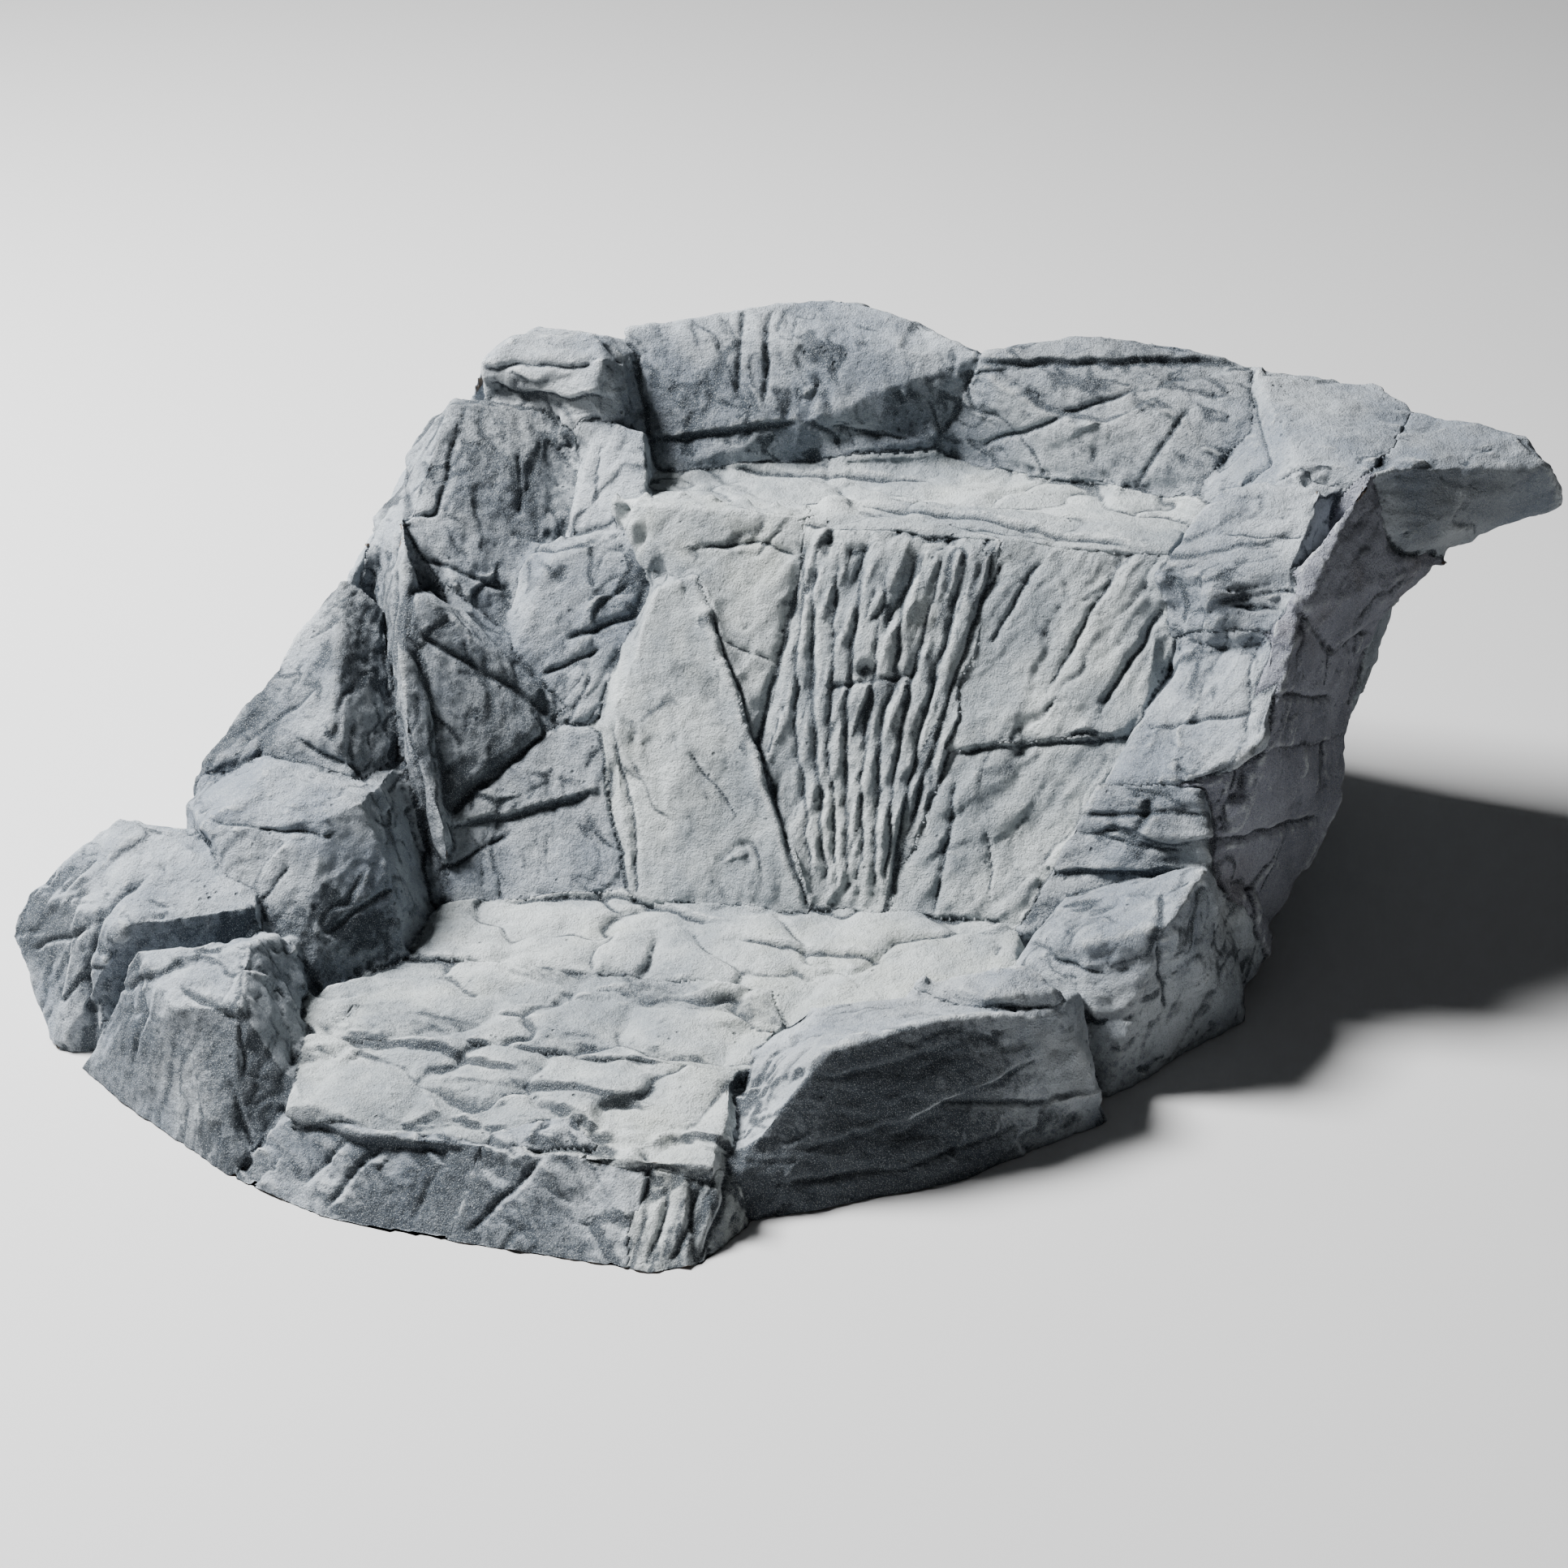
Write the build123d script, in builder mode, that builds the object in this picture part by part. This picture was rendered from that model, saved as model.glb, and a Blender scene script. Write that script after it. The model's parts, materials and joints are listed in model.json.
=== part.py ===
from build123d import *
import os

import numpy as np
from scipy.spatial import ConvexHull, HalfspaceIntersection

# Hollow artificial-rock cascade for a garden pond. Water fed into the rock at the back fills an upper
# pool, spills over a ledge, runs down a ribbed fall into a lower basin and leaves over a front lip.
# It is laid up from thin cast rock shells and slabs, bonded to each other along their seams.
# Frame: +Z up, +X to the right of the flow, -Y the way the water runs, origin under the box centre.

# ---- driving dimensions, mm -------------------------------------------------------------------
HALF_LENGTH = 560.0     # from the middle out to the outer boulder, and to the tip of the horn
HALF_DEPTH = 460.0      # from the middle out to the front apron, and to the hose spigot
TOP = 445.0             # highest rock of the rim
WALL = 7.0              # laid-up shell of a hollow rock
SLAB = 16.0             # cast slab of a face
THIN_SLAB = 11.0        # cast slab of a floor or of the rear
THICK_BLOCK = 70.0      # the solid block at the top of the left wall
OPEN_COSINE = 0.55      # a face this close to the open side is left out of a shell
FALL_LAP = 22.0         # how far the back of a fall slab spreads under its neighbours
SKIN_LAP = 14.0         # the same for the rocks of the sides and rear
BREAKTHROUGH = 30.0     # how far a hollow runs out through its open side

# Heights of the levels that the water passes
GROUND = 0.0
LOWER_POOL = 70.0
UPPER_POOL = 322.0
CREST = 336.0

# The faces that the stones are laid along: where each starts, how it leans and how it turns
FALL_FOOT = -55.0       # Y of the fall at the lower pool, in the middle of the object
FALL_LEAN = 0.76        # how far back it goes for each mm up
FALL_TURN = 0.20        # and for each mm to the right
PILLAR_PROUD = 6.0      # how far the pillar stands out of the fall
LEFT_WALL_FOOT = -25.0
LEFT_WALL_LEAN = 1.0
LEFT_WALL_TURN = 0.45
FLOOR_LEVEL_AT = -150.0     # Y at which the floor of the lower pool is at its level
FLOOR_SLOPE = 0.07          # how it rises towards the fall

# Directions: the side of a rock that is open, and the way a slab is thickened
DOWN = (0, 0, -1)
BEHIND = (-0.20, 0.75, -0.63)
LEFT_BEHIND = (-0.30, 0.60, -0.74)
INWARD_FROM_LEFT = (0.85, 0.30, -0.45)
INWARD_FROM_RIGHT = (-0.90, 0.10, -0.40)
INWARD_FROM_REAR = (0, -1, 0)
INWARD_FROM_SIDE = (0.98, -0.20, 0)
INWARD_FROM_RIGHT_SIDE = (-0.95, -0.30, 0)
EDGE_INWARD = (0, 1, 0)
LAPS = {BEHIND: FALL_LAP, LEFT_BEHIND: FALL_LAP, DOWN: 0, EDGE_INWARD: 0}

# Inlet fitting for the pump hose
INLET_AT = (-40, 336)   # X and Z of its axis on the rear wall
REAR_WALL = 412.0       # Y of the flat rear face that the fitting sits on
INLET_BORE = 9.5        # radii
INLET_THREAD = 14.0
INLET_FLANGE = 24.0
HOSE_SPIGOT = 12.5
SPIGOT_CHAMFER = 1.0
FLANGE_THICK = 4.0
GASKET_THICK = 3.0
NUT_THICK = 9.0
NUT_RADIUS = 21.0
THREAD_LENGTH = 24.0

# Corners that neighbouring rocks share along the rim and the right flank
CENTRE_SEAM = [(65, 340, 415), (50, 330, 370), (30, 325, 325)]
RIGHT_SEAM = [(290, 400, 415), (320, 330, 380), (275, 305, 345)]
HORN_TOP_FRONT = (420, 280, 390)
HORN_TOP_REAR = (430, 405, 395)
HORN_ROOT = (430, 260, 320)
FLANK_FRONT = (390, 85, 225)
FLANK_REAR = (425, 240, 165)

os.makedirs("parts", exist_ok=True)


def stone(level, foot, crown):
    """Corners of a stone: its foot outline, X and Y at one level, and the corners of its crown."""
    return [(x, y, level) for x, y in foot] + crown


def on_fall(outline, proud=0.0):
    """Corners on the leaning face of the fall, from their X and Z."""
    return [(x, FALL_FOOT + FALL_TURN * x + FALL_LEAN * (z - LOWER_POOL) - proud, z) for x, z in outline]


def on_left_wall(outline):
    """Corners on the wall to the left of the fall, from their X and Z."""
    return [(x, LEFT_WALL_FOOT + LEFT_WALL_TURN * x + LEFT_WALL_LEAN * (z - LOWER_POOL), z)
            for x, z in outline]


def on_floor(outline):
    """Corners on the floor of the lower pool, from their X and Y."""
    return [(x, y, LOWER_POOL + FLOOR_SLOPE * (y - FLOOR_LEVEL_AT)) for x, y in outline]


# ---- hollow rocks: boulders and rim blocks, open on the side named with them -----------------------
BOULDERS = {
    "left_front_boulder": (DOWN, stone(
        GROUND, [(-460, -350), (-280, -440), (-240, -340), (-430, -270)],
        [(-410, -330, 110), (-320, -310, 125), (-350, -380, 100), (-300, -370, 110), (-250, -380, 50),
         (-320, -260, 105)])),
    "left_outer_boulder": (DOWN, stone(
        GROUND, [(-490, -335), (-530, -180), (-400, -100), (-350, -270)],
        [(-HALF_LENGTH, -280, 60), (-550, -260, 95), (-490, -210, 150), (-440, -215, 150),
         (-340, -260, 125), (-430, -310, 118), (-380, -170, 125)])),
    "left_inner_boulder": (DOWN, stone(
        GROUND, [(-470, -150), (-300, -290), (-220, -220), (-230, -120), (-430, -90)],
        [(-450, -170, 150), (-380, -160, 190), (-290, -165, 180), (-400, -220, 160), (-310, -190, 175),
         (-260, -180, 130), (-310, -280, 55), (-420, -60, 165), (-300, -60, 165)])),
    "right_front_cap": (DOWN, stone(
        96, [(200, -150), (235, -180), (285, -150), (275, -120)],
        [(190, -160, 112), (240, -175, 118), (285, -140, 112), (255, -130, 120)])),
    "right_front_boulder": (DOWN, stone(
        GROUND, [(115, -355), (250, -250), (330, -140), (270, -40), (60, -240)],
        [(65, -230, 65), (100, -190, 90), (145, -275, 110), (210, -220, 118), (285, -150, 102),
         (100, -340, 45), (320, -145, 35), (290, -95, 85)])),
    "right_rear_boulder": (DOWN, stone(
        GROUND, [(210, -40), (320, -110), (400, 35), (375, 100), (230, 40)],
        [(230, -60, 75), (255, -30, 115), (360, 15, 148), (290, -75, 118), (350, -60, 138),
         (360, 85, 110), (250, 60, 95)])),
    "left_outer_rock": (DOWN, stone(
        GROUND, [(-470, -120), (-460, 0), (-300, 20), (-300, -80)],
        [(-450, -140, 170), (-420, -90, 212), (-380, 0, 284), (-310, -130, 170), (-340, -115, 210),
         (-300, 20, 200)])),
    "left_ridge_rock": (INWARD_FROM_LEFT, stone(
        50, [(-240, -120), (-300, -90), (-250, -40)],
        [(-400, 90, 300), (-385, 130, 320), (-350, 55, 320), (-325, 10, 300), (-310, -40, 250),
         (-290, -80, 200), (-245, -110, 130), (-400, 100, 200), (-330, 90, 240)])),
    "left_shoulder_rock": (INWARD_FROM_LEFT, stone(
        220, [(-395, 220), (-330, 100), (-245, 45), (-300, 250)],
        [(-340, 110, 340), (-235, 110, 256), (-240, 200, 335), (-355, 165, 380), (-245, 230, 362),
         (-395, 150, 330), (-385, 240, 350), (-350, 60, 315)])),
    "right_foot_block": (DOWN, stone(
        GROUND, [(215, -10), (370, 60), (360, 110), (250, 80)],
        [(215, -15, LOWER_POOL), (235, 20, 130), (265, 50, 190), (345, 50, 200), (360, 35, 140),
         (360, 110, 170), (290, 110, 150)])),
    "right_ridge_lower": (BEHIND, stone(
        155, [(270, 90), (345, 110)],
        [(265, 50, 190), (335, 50, 205), (385, 70, 235), (390, 145, 295), (305, 165, 275), (400, 160, 200),
         (395, 200, 280), (300, 220, 250)])),
    "right_ridge_upper": (BEHIND, stone(
        285, [(290, 165), (390, 155), (400, 230), (290, 290)],
        [(275, 180, 330), (320, 155, 330), (380, 180, 340), (300, 245, 370), (335, 265, 375),
         (385, 260, 380)])),
    "back_left_block": (DOWN, stone(
        315, [(-365, 290), (-345, 215), (-190, 215), (-200, 320)],
        [(-340, 205, 405), (-315, 220, 425), (-250, 240, 430), (-230, 210, 420), (-240, 195, 390),
         (-205, 245, 370), (-330, 300, 400), (-215, 300, 395)])),
    "back_centre_block": (DOWN, stone(
        280, [(-215, 330), (-150, REAR_WALL), (60, REAR_WALL)],
        [(-190, 210, 315), (-5, 320, 320), (-235, 270, 425), (-130, 330, 440), (-65, 360, TOP),
         (10, 355, 430), (-230, 320, 395), (-65, REAR_WALL, 415), (70, 400, 380)] + CENTRE_SEAM)),
    "back_right_block": (DOWN, stone(
        290, [(80, 425), (300, 440)],
        [(240, 310, 320), (145, 370, 435), (225, 390, 430), (75, 425, 385), (290, 440, 385)]
        + CENTRE_SEAM + RIGHT_SEAM)),
    "back_right_wing": (DOWN, stone(
        325, [(300, 300), (400, 300), (440, 400), (335, 440)],
        [(325, 425, 405), (390, 440, 400), HORN_TOP_REAR, (360, 275, 390), HORN_TOP_FRONT]
        + RIGHT_SEAM)),
    "right_horn": (DOWN, stone(
        300, [(420, 300), (440, 430), (530, 425)],
        [HORN_TOP_REAR, (525, 390, 390), (545, 375, 375), (HALF_LENGTH, 400, 330), (515, 380, 310),
         (470, 325, 295), HORN_TOP_FRONT, HORN_ROOT, (530, 430, 350)])),
    "right_flank_crown": (INWARD_FROM_RIGHT, stone(
        250, [(400, 190), (425, 285), (400, 300)],
        [(385, 180, 340), HORN_TOP_FRONT, HORN_ROOT, (475, 320, 295), (435, 300, 250), (395, 150, 320),
         (420, 330, 300)])),
}

# ---- slabs: thickness, the way they are thickened, and the corners of their face ----------------------
SLABS = {
    "outlet_lip": (SLAB, EDGE_INWARD, stone(
        GROUND, [(115, -365), (100, -415), (65, -440), (45, -440)], [(40, -380, 45), (90, -375, 40)])),
    "apron_centre": (SLAB, EDGE_INWARD, stone(
        GROUND, [(45, -440), (-90, -455)], [(-85, -400, 55), (-30, -370, 60), (40, -380, 45)])),
    "apron_left": (SLAB, EDGE_INWARD, stone(
        GROUND, [(-90, -455), (-135, -HALF_DEPTH), (-195, -HALF_DEPTH), (-275, -440)],
        [(-245, -400, 45), (-175, -415, 50), (-85, -400, 55)])),
    "basin_floor_front": (THIN_SLAB, DOWN, on_floor(
        [(-270, -335), (-240, -410), (-85, -400), (40, -380), (90, -370), (65, -250), (-250, -270)])),
    "basin_floor_middle": (THIN_SLAB, DOWN, on_floor(
        [(-300, -285), (-260, -320), (65, -270), (80, -190), (60, -150), (-240, -200)])),
    "basin_floor_back": (THIN_SLAB, DOWN, on_floor(
        [(-260, -150), (-160, -70), (-10, -60), (145, -5), (220, -15), (235, -130), (60, -200),
         (-225, -225)])),
    "left_wedge_slab": (SLAB, LEFT_BEHIND, [
        (-310, -5, 285), (-305, -65, 205), (-260, -85, 140), (-190, 10, 195), (-265, 25, 240)]),
    "left_top_block": (THICK_BLOCK, LEFT_BEHIND, [
        (-235, 200, 370), (-190, 200, 365), (-165, 145, 315), (-195, 140, 305), (-230, 120, 290)]),
    "left_upper_slab": (SLAB, LEFT_BEHIND, on_left_wall(
        [(-195, 300), (-230, 285), (-240, 230), (-190, 185), (-100, 200), (-85, 225), (-120, 305),
         (-160, 310)])),
    "left_lower_slab": (SLAB, LEFT_BEHIND, on_left_wall(
        [(-255, 135), (-190, 180), (-150, 175), (-105, 110), (-105, 75), (-255, 75)])),
    "cascade_pillar": (2 * SLAB, BEHIND, on_fall(
        [(-130, 285), (-100, 295), (55, 68), (-90, 68), (-145, 190)], PILLAR_PROUD)),
    "cascade_left_slab": (SLAB, BEHIND, on_fall(
        [(-160, 338), (-25, 338), (-10, 300), (-20, 180), (-50, 220), (-120, 315)])),
    "cascade_ribs": (SLAB, BEHIND, on_fall(
        [(-20, 332), (140, 328), (130, 200), (110, 68), (50, 68), (-5, 140), (-25, 200)])),
    "cascade_right_slab": (1.4 * SLAB, BEHIND, on_fall(
        [(140, 330), (275, 325), (280, 210), (205, 205), (130, 190)])),
    "cascade_right_foot": (SLAB, BEHIND, on_fall(
        [(140, 185), (205, 205), (280, 205), (240, 130), (215, 68), (105, 68)])),
    "crest_ledge": (1.4 * SLAB, DOWN,
                    on_fall([(-25, CREST), (275, CREST - 6)]) + [(280, 245, CREST - 4), (-25, 200, CREST)]),
    "upper_basin_floor": (THIN_SLAB, DOWN, stone(
        UPPER_POOL, [(-180, 130), (280, 200), (320, 320), (230, 400), (-100, 380), (-235, 270)], [])),
    "right_flank_upper": (SLAB, INWARD_FROM_RIGHT, [
        (395, 150, 315), (425, 280, 240), FLANK_REAR, FLANK_FRONT]),
    "right_flank_lower": (SLAB, INWARD_FROM_RIGHT, [
        FLANK_FRONT, FLANK_REAR, (430, 210, 120), (405, 155, 55), (380, 110, 10), (365, 45, 120),
        (350, 60, 195)]),
    "left_side_lower_rock": (THIN_SLAB, INWARD_FROM_SIDE, stone(
        GROUND, [(-482, -80), (-448, 110)], [(-432, 90, 150), (-436, 20, 190), (-452, -60, 165)])),
    "left_side_upper_rock": (THIN_SLAB, INWARD_FROM_SIDE, [
        (-436, 20, 188), (-434, 95, 150), (-424, 175, 150), (-388, 262, 340), (-394, 150, 318),
        (-398, 70, 280)]),
    "left_rear_corner_rock": (THIN_SLAB, INWARD_FROM_SIDE, stone(
        GROUND, [(-446, 110), (-414, 292)], [(-384, 288, 200), (-398, 210, 260), (-430, 120, 160)])),
    "rear_left_upper_rock": (THIN_SLAB, INWARD_FROM_REAR, [
        (-392, 262, 260), (-372, 288, 350), (-335, 316, 376), (-212, 350, 372), (-205, 380, 200),
        (-300, 352, 190)]),
    "rear_left_lower_rock": (THIN_SLAB, INWARD_FROM_REAR, stone(
        GROUND, [(-418, 290), (-202, 414)], [(-388, 284, 210), (-300, 350, 210), (-205, 384, 215)])),
    "rear_centre_left_rock": (THIN_SLAB, INWARD_FROM_REAR, stone(
        GROUND, [(-210, 414), (-70, 436)],
        [(-212, 388, 210), (-190, 402, 300), (-60, REAR_WALL, 300), (-50, 430, 150)])),
    "rear_centre_right_rock": (THIN_SLAB, INWARD_FROM_REAR, stone(
        GROUND, [(-74, 436), (92, 440)],
        [(-54, 430, 150), (-64, REAR_WALL, 300), (66, REAR_WALL, 300), (84, 426, 200)])),
    "rear_right_rock": (THIN_SLAB, INWARD_FROM_REAR, stone(
        GROUND, [(88, 440), (304, 450)], [(76, 425, 310), (302, 440, 310), (190, 456, 150)])),
    "rear_right_corner_rock": (THIN_SLAB, INWARD_FROM_REAR, stone(
        GROUND, [(300, 450), (345, 436)],
        [(298, 440, 320), (430, 434, 318), (424, 408, 240), (386, 422, 100), (370, 444, 200)])),
    "right_rear_rock": (THIN_SLAB, INWARD_FROM_RIGHT_SIDE, stone(
        GROUND, [(378, 124), (345, 432)],
        [(384, 420, 100), (428, 404, 292), (430, 345, 274), (412, 290, 208), (416, 236, 138),
         (392, 168, 50)])),
}

RIB_COUNT = 8           # upright ribs on the face of the fall
RIB_PROUD = 7.0
RIB_WIDTH = 11.0
RIB_ROOT = 6.0          # how deep a rib is rooted in its slab
RIB_HEIGHTS = (318.0, 262.0, 196.0, 104.0)
RIB_LEFT = (-8.0, 46.0)     # X of the ribbed band's left side, at the top and at the foot
RIB_RIGHT = (132.0, 104.0)


def cavity_corners(corners, open_side):
    """Corners of the hollow of a shell: its faces moved in by the wall, or out on the open side."""
    planes = ConvexHull(corners).equations.copy()
    for plane in planes:
        is_open = np.dot(plane[:3], open_side) / np.linalg.norm(open_side) > OPEN_COSINE
        plane[3] += -BREAKTHROUGH if is_open else WALL
    inside = np.mean(corners, axis=0)
    found = HalfspaceIntersection(planes, inside).intersections
    return [tuple(float(v) for v in point) for point in np.unique(found.round(1), axis=0)]


def slab_corners(face, inward, thickness, lap):
    """Corners of a slab: those of its face, and its back, which is wider and laps its neighbours."""
    inward = Vector(*inward).normalized()
    centre = Vector(*np.mean(face, axis=0))
    top = max(corner[2] for corner in face) - 0.3 * thickness
    back = []
    for corner in face:
        outward = Vector(*corner) - centre
        outward -= inward * outward.dot(inward)
        moved = Vector(*corner) + inward * thickness + outward.normalized() * lap
        back.append((moved.X, moved.Y, min(max(moved.Z, GROUND), top)))
    return list(face) + back


def main_solid(shape):
    """The solid of a trimmed rock, without the small off-cuts that its neighbours leave."""
    solids = sorted(shape.solids(), key=lambda s: s.volume, reverse=True)
    return solids[0]


def front_of(planes, x, z):
    """Y of the front of a convex rock at one X and Z."""
    facing = planes[planes[:, 1] < -0.1]
    return max(-(facing[:, 0] * x + facing[:, 2] * z + facing[:, 3]) / facing[:, 1])


def ribs_on_face(corners):
    """The upright ribs of the fall: each follows the face of its slab down to the lower pool."""
    planes = ConvexHull(corners).equations
    side = Vector(RIB_WIDTH / 2, 0, 0)
    proud = Vector(0, -0.77, 0.63) * RIB_PROUD
    into = Vector(0, 0.77, -0.63) * RIB_ROOT
    ribs = []
    for number in range(RIB_COUNT):
        share = (number + 0.5) / RIB_COUNT
        stations = []
        for height in RIB_HEIGHTS:
            drop = (RIB_HEIGHTS[0] - height) / (RIB_HEIGHTS[0] - RIB_HEIGHTS[-1])
            left = RIB_LEFT[0] + (RIB_LEFT[1] - RIB_LEFT[0]) * drop
            right = RIB_RIGHT[0] + (RIB_RIGHT[1] - RIB_RIGHT[0]) * drop
            x = left + (right - left) * share
            stations.append(Vector(x, front_of(planes, x, height), height))
        for upper, lower in zip(stations[:-1], stations[1:]):
            ends = [upper - side, upper + side, lower - side, lower + side]
            rib = [end + into for end in ends] + [upper + proud, lower + proud]
            ribs.append(ConvexPolyhedron(rib, mode=Mode.PRIVATE))
    return ribs


outer_solids = {}
finished = {}


def touching(name):
    """The rocks made before this one whose boxes reach it."""
    own = outer_solids[name].bounding_box()
    near = []
    for other in finished:
        box = outer_solids[other].bounding_box()
        apart = [own.min.X > box.max.X, own.max.X < box.min.X, own.min.Y > box.max.Y,
                 own.max.Y < box.min.Y, own.min.Z > box.max.Z, own.max.Z < box.min.Z]
        if not any(apart):
            near.append(other)
    return near


def save(name, shape):
    """Label a finished piece and write it as its own STEP."""
    shape.label = name
    finished[name] = shape
    export_step(shape, f"parts/{name}.step")


# ---- hollow rocks -------------------------------------------------------------------------------
for rock_name, (open_side, rock_corners) in BOULDERS.items():
    outer_solids[rock_name] = ConvexPolyhedron(rock_corners, mode=Mode.PRIVATE)
    with BuildPart() as rock:
        ConvexPolyhedron(rock_corners)
        ConvexPolyhedron(cavity_corners(rock_corners, open_side), mode=Mode.SUBTRACT)
        for neighbour in touching(rock_name):
            add(outer_solids[neighbour], mode=Mode.SUBTRACT)
        if rock_name == "back_centre_block":
            with Locations((INLET_AT[0], REAR_WALL, INLET_AT[1])):
                Cylinder(INLET_THREAD, 4 * WALL, rotation=(90, 0, 0), mode=Mode.SUBTRACT)
    save(rock_name, main_solid(rock.part))

# ---- slabs --------------------------------------------------------------------------------------
for slab_name, (thickness, inward, face_corners) in SLABS.items():
    all_corners = slab_corners(face_corners, inward, thickness, LAPS.get(inward, SKIN_LAP))
    outer_solids[slab_name] = ConvexPolyhedron(all_corners, mode=Mode.PRIVATE)
    if slab_name == "cascade_ribs":
        outer_solids[slab_name] = outer_solids[slab_name] + ribs_on_face(all_corners)
    with BuildPart() as slab:
        add(outer_solids[slab_name])
        for neighbour in touching(slab_name):
            add(outer_solids[neighbour], mode=Mode.SUBTRACT)
    save(slab_name, main_solid(slab.part))

# ---- inlet fitting: hose spigot, flange, gasket and lock nut through the rear wall ----------------
inlet_axis = Plane(origin=(INLET_AT[0], REAR_WALL, INLET_AT[1]), x_dir=(1, 0, 0), z_dir=(0, 1, 0))
flange_back = GASKET_THICK + FLANGE_THICK
with BuildPart() as inlet_body:
    with BuildSketch(inlet_axis.offset(GASKET_THICK)):
        Circle(INLET_FLANGE)
    extrude(amount=FLANGE_THICK)
    with BuildSketch(inlet_axis.offset(GASKET_THICK)):
        Circle(INLET_THREAD)
    extrude(amount=-THREAD_LENGTH)
    with BuildSketch(inlet_axis.offset(flange_back)):
        Circle(HOSE_SPIGOT)
    extrude(amount=HALF_DEPTH - REAR_WALL - flange_back)
    chamfer(inlet_body.edges().sort_by(Axis.Y)[-1], SPIGOT_CHAMFER)
    with BuildSketch(inlet_axis.offset(GASKET_THICK - THREAD_LENGTH)):
        Circle(INLET_BORE)
    extrude(amount=2 * HALF_DEPTH, mode=Mode.SUBTRACT)
save("inlet_body", inlet_body.part)

with BuildPart() as inlet_gasket:
    with BuildSketch(inlet_axis):
        Circle(INLET_FLANGE - 2)
        Circle(INLET_THREAD, mode=Mode.SUBTRACT)
    extrude(amount=GASKET_THICK)
save("inlet_gasket", inlet_gasket.part)

with BuildPart() as inlet_locknut:
    with BuildSketch(inlet_axis.offset(-WALL)):
        RegularPolygon(NUT_RADIUS, 6)
        Circle(INLET_THREAD, mode=Mode.SUBTRACT)
    extrude(amount=-NUT_THICK)
save("inlet_locknut", inlet_locknut.part)

for made_name, made in finished.items():
    size = made.bounding_box().size
    print(f"{made_name:24s} {made.volume / 1000:8.1f} cm3   {size.X:6.0f} {size.Y:6.0f} {size.Z:6.0f} mm")
whole = Compound(children=list(finished.values())).bounding_box()
print("whole", whole.min, whole.max)
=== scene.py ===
import math

import bmesh
import bpy
import numpy as np
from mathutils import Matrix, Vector
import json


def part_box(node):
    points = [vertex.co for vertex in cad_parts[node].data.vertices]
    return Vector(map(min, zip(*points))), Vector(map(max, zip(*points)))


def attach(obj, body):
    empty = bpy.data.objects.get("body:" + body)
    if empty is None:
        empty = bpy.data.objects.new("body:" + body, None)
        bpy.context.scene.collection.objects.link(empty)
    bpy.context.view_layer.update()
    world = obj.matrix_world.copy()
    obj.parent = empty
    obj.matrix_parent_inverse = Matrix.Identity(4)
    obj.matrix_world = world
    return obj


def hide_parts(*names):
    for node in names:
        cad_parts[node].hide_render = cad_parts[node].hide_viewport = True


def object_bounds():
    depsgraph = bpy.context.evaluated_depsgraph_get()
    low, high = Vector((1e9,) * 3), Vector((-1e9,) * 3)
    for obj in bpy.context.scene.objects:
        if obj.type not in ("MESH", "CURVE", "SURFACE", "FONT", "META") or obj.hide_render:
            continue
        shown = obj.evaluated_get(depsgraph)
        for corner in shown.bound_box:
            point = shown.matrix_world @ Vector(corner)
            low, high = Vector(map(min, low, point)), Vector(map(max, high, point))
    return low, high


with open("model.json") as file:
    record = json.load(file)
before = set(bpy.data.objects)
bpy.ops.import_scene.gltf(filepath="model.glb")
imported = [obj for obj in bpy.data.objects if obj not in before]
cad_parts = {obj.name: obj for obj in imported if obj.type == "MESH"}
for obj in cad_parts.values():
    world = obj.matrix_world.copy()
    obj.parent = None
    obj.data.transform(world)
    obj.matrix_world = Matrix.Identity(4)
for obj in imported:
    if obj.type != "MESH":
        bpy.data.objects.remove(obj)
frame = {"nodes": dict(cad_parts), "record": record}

# Looks of the hollow artificial-rock cascade, in five steps. One even skin is laid over the hulls of all
# the CAD rocks. Each of its points is given to the rock that it lies on. Relief is pushed into it: blocks,
# chisel strokes, seams and marks. Dark wash and pale edges are worked out from that relief. Last, the skin
# is divided into one closed shell for each rock, which replaces its CAD solid.
CAD_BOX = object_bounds()
MM = 0.001
SEED = 7

# ---- sizes of the skin, mm, and its rounds of smoothing -----------------------------------------------
VOXEL = 2.2        # quad size of the skin
EDGE_ROUNDS = 3      # rounds that wear every edge
WATER_ROUNDS = 16    # rounds on the stones that the water runs over
BRIDGE_ROUNDS = 34  # rounds where the skin bridges a gap between rocks
INNER_ROUNDS = 14                         # rounds on the inner side of the shell
SHELL = 7.0               # thickness of the moulded skin
THIN_SHELL = 1.5          # and where the rock is too thin for that
BELOW = 18.0              # how far the rocks are carried down before they are cut at the ground
CORE_STEP = 6.0           # cell size of the core that fills the hollow while the skin is made
CORE_GAP = 3.5            # half of the widest slit between rocks that the core closes
BOX_SPARE = 3.0           # how far relief may stand past the box of the CAD

# ---- heights and sizes of the relief, mm --------------------------------------------------------------
LUMP_HEIGHT, LUMP_SIZE = 4.0, 95          # the uneven form of the whole
STROKE_SIZE, STROKE_DRAWN = 13, 0.86      # chisel strokes, and how far they are drawn out along the grain
FINE_STROKE_HEIGHT, FINE_STROKE_SIZE = 0.7, 6
ROUGH_HEIGHT, ROUGH_SIZE = 1.1, 16
GRIT_HEIGHT, GRIT_SIZE = 0.4, 5.5
SEAM_DEPTH, SEAM_WIDTH, SEAM_WASH_WIDTH = 2.2, 4.0, 2.2
RAISED_FADE, SUNK_FADE = 26, 10           # how far a ledge fades out above its step and below it
DEEPEST, HIGHEST = -10, 9                 # limits of all the relief together

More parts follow.
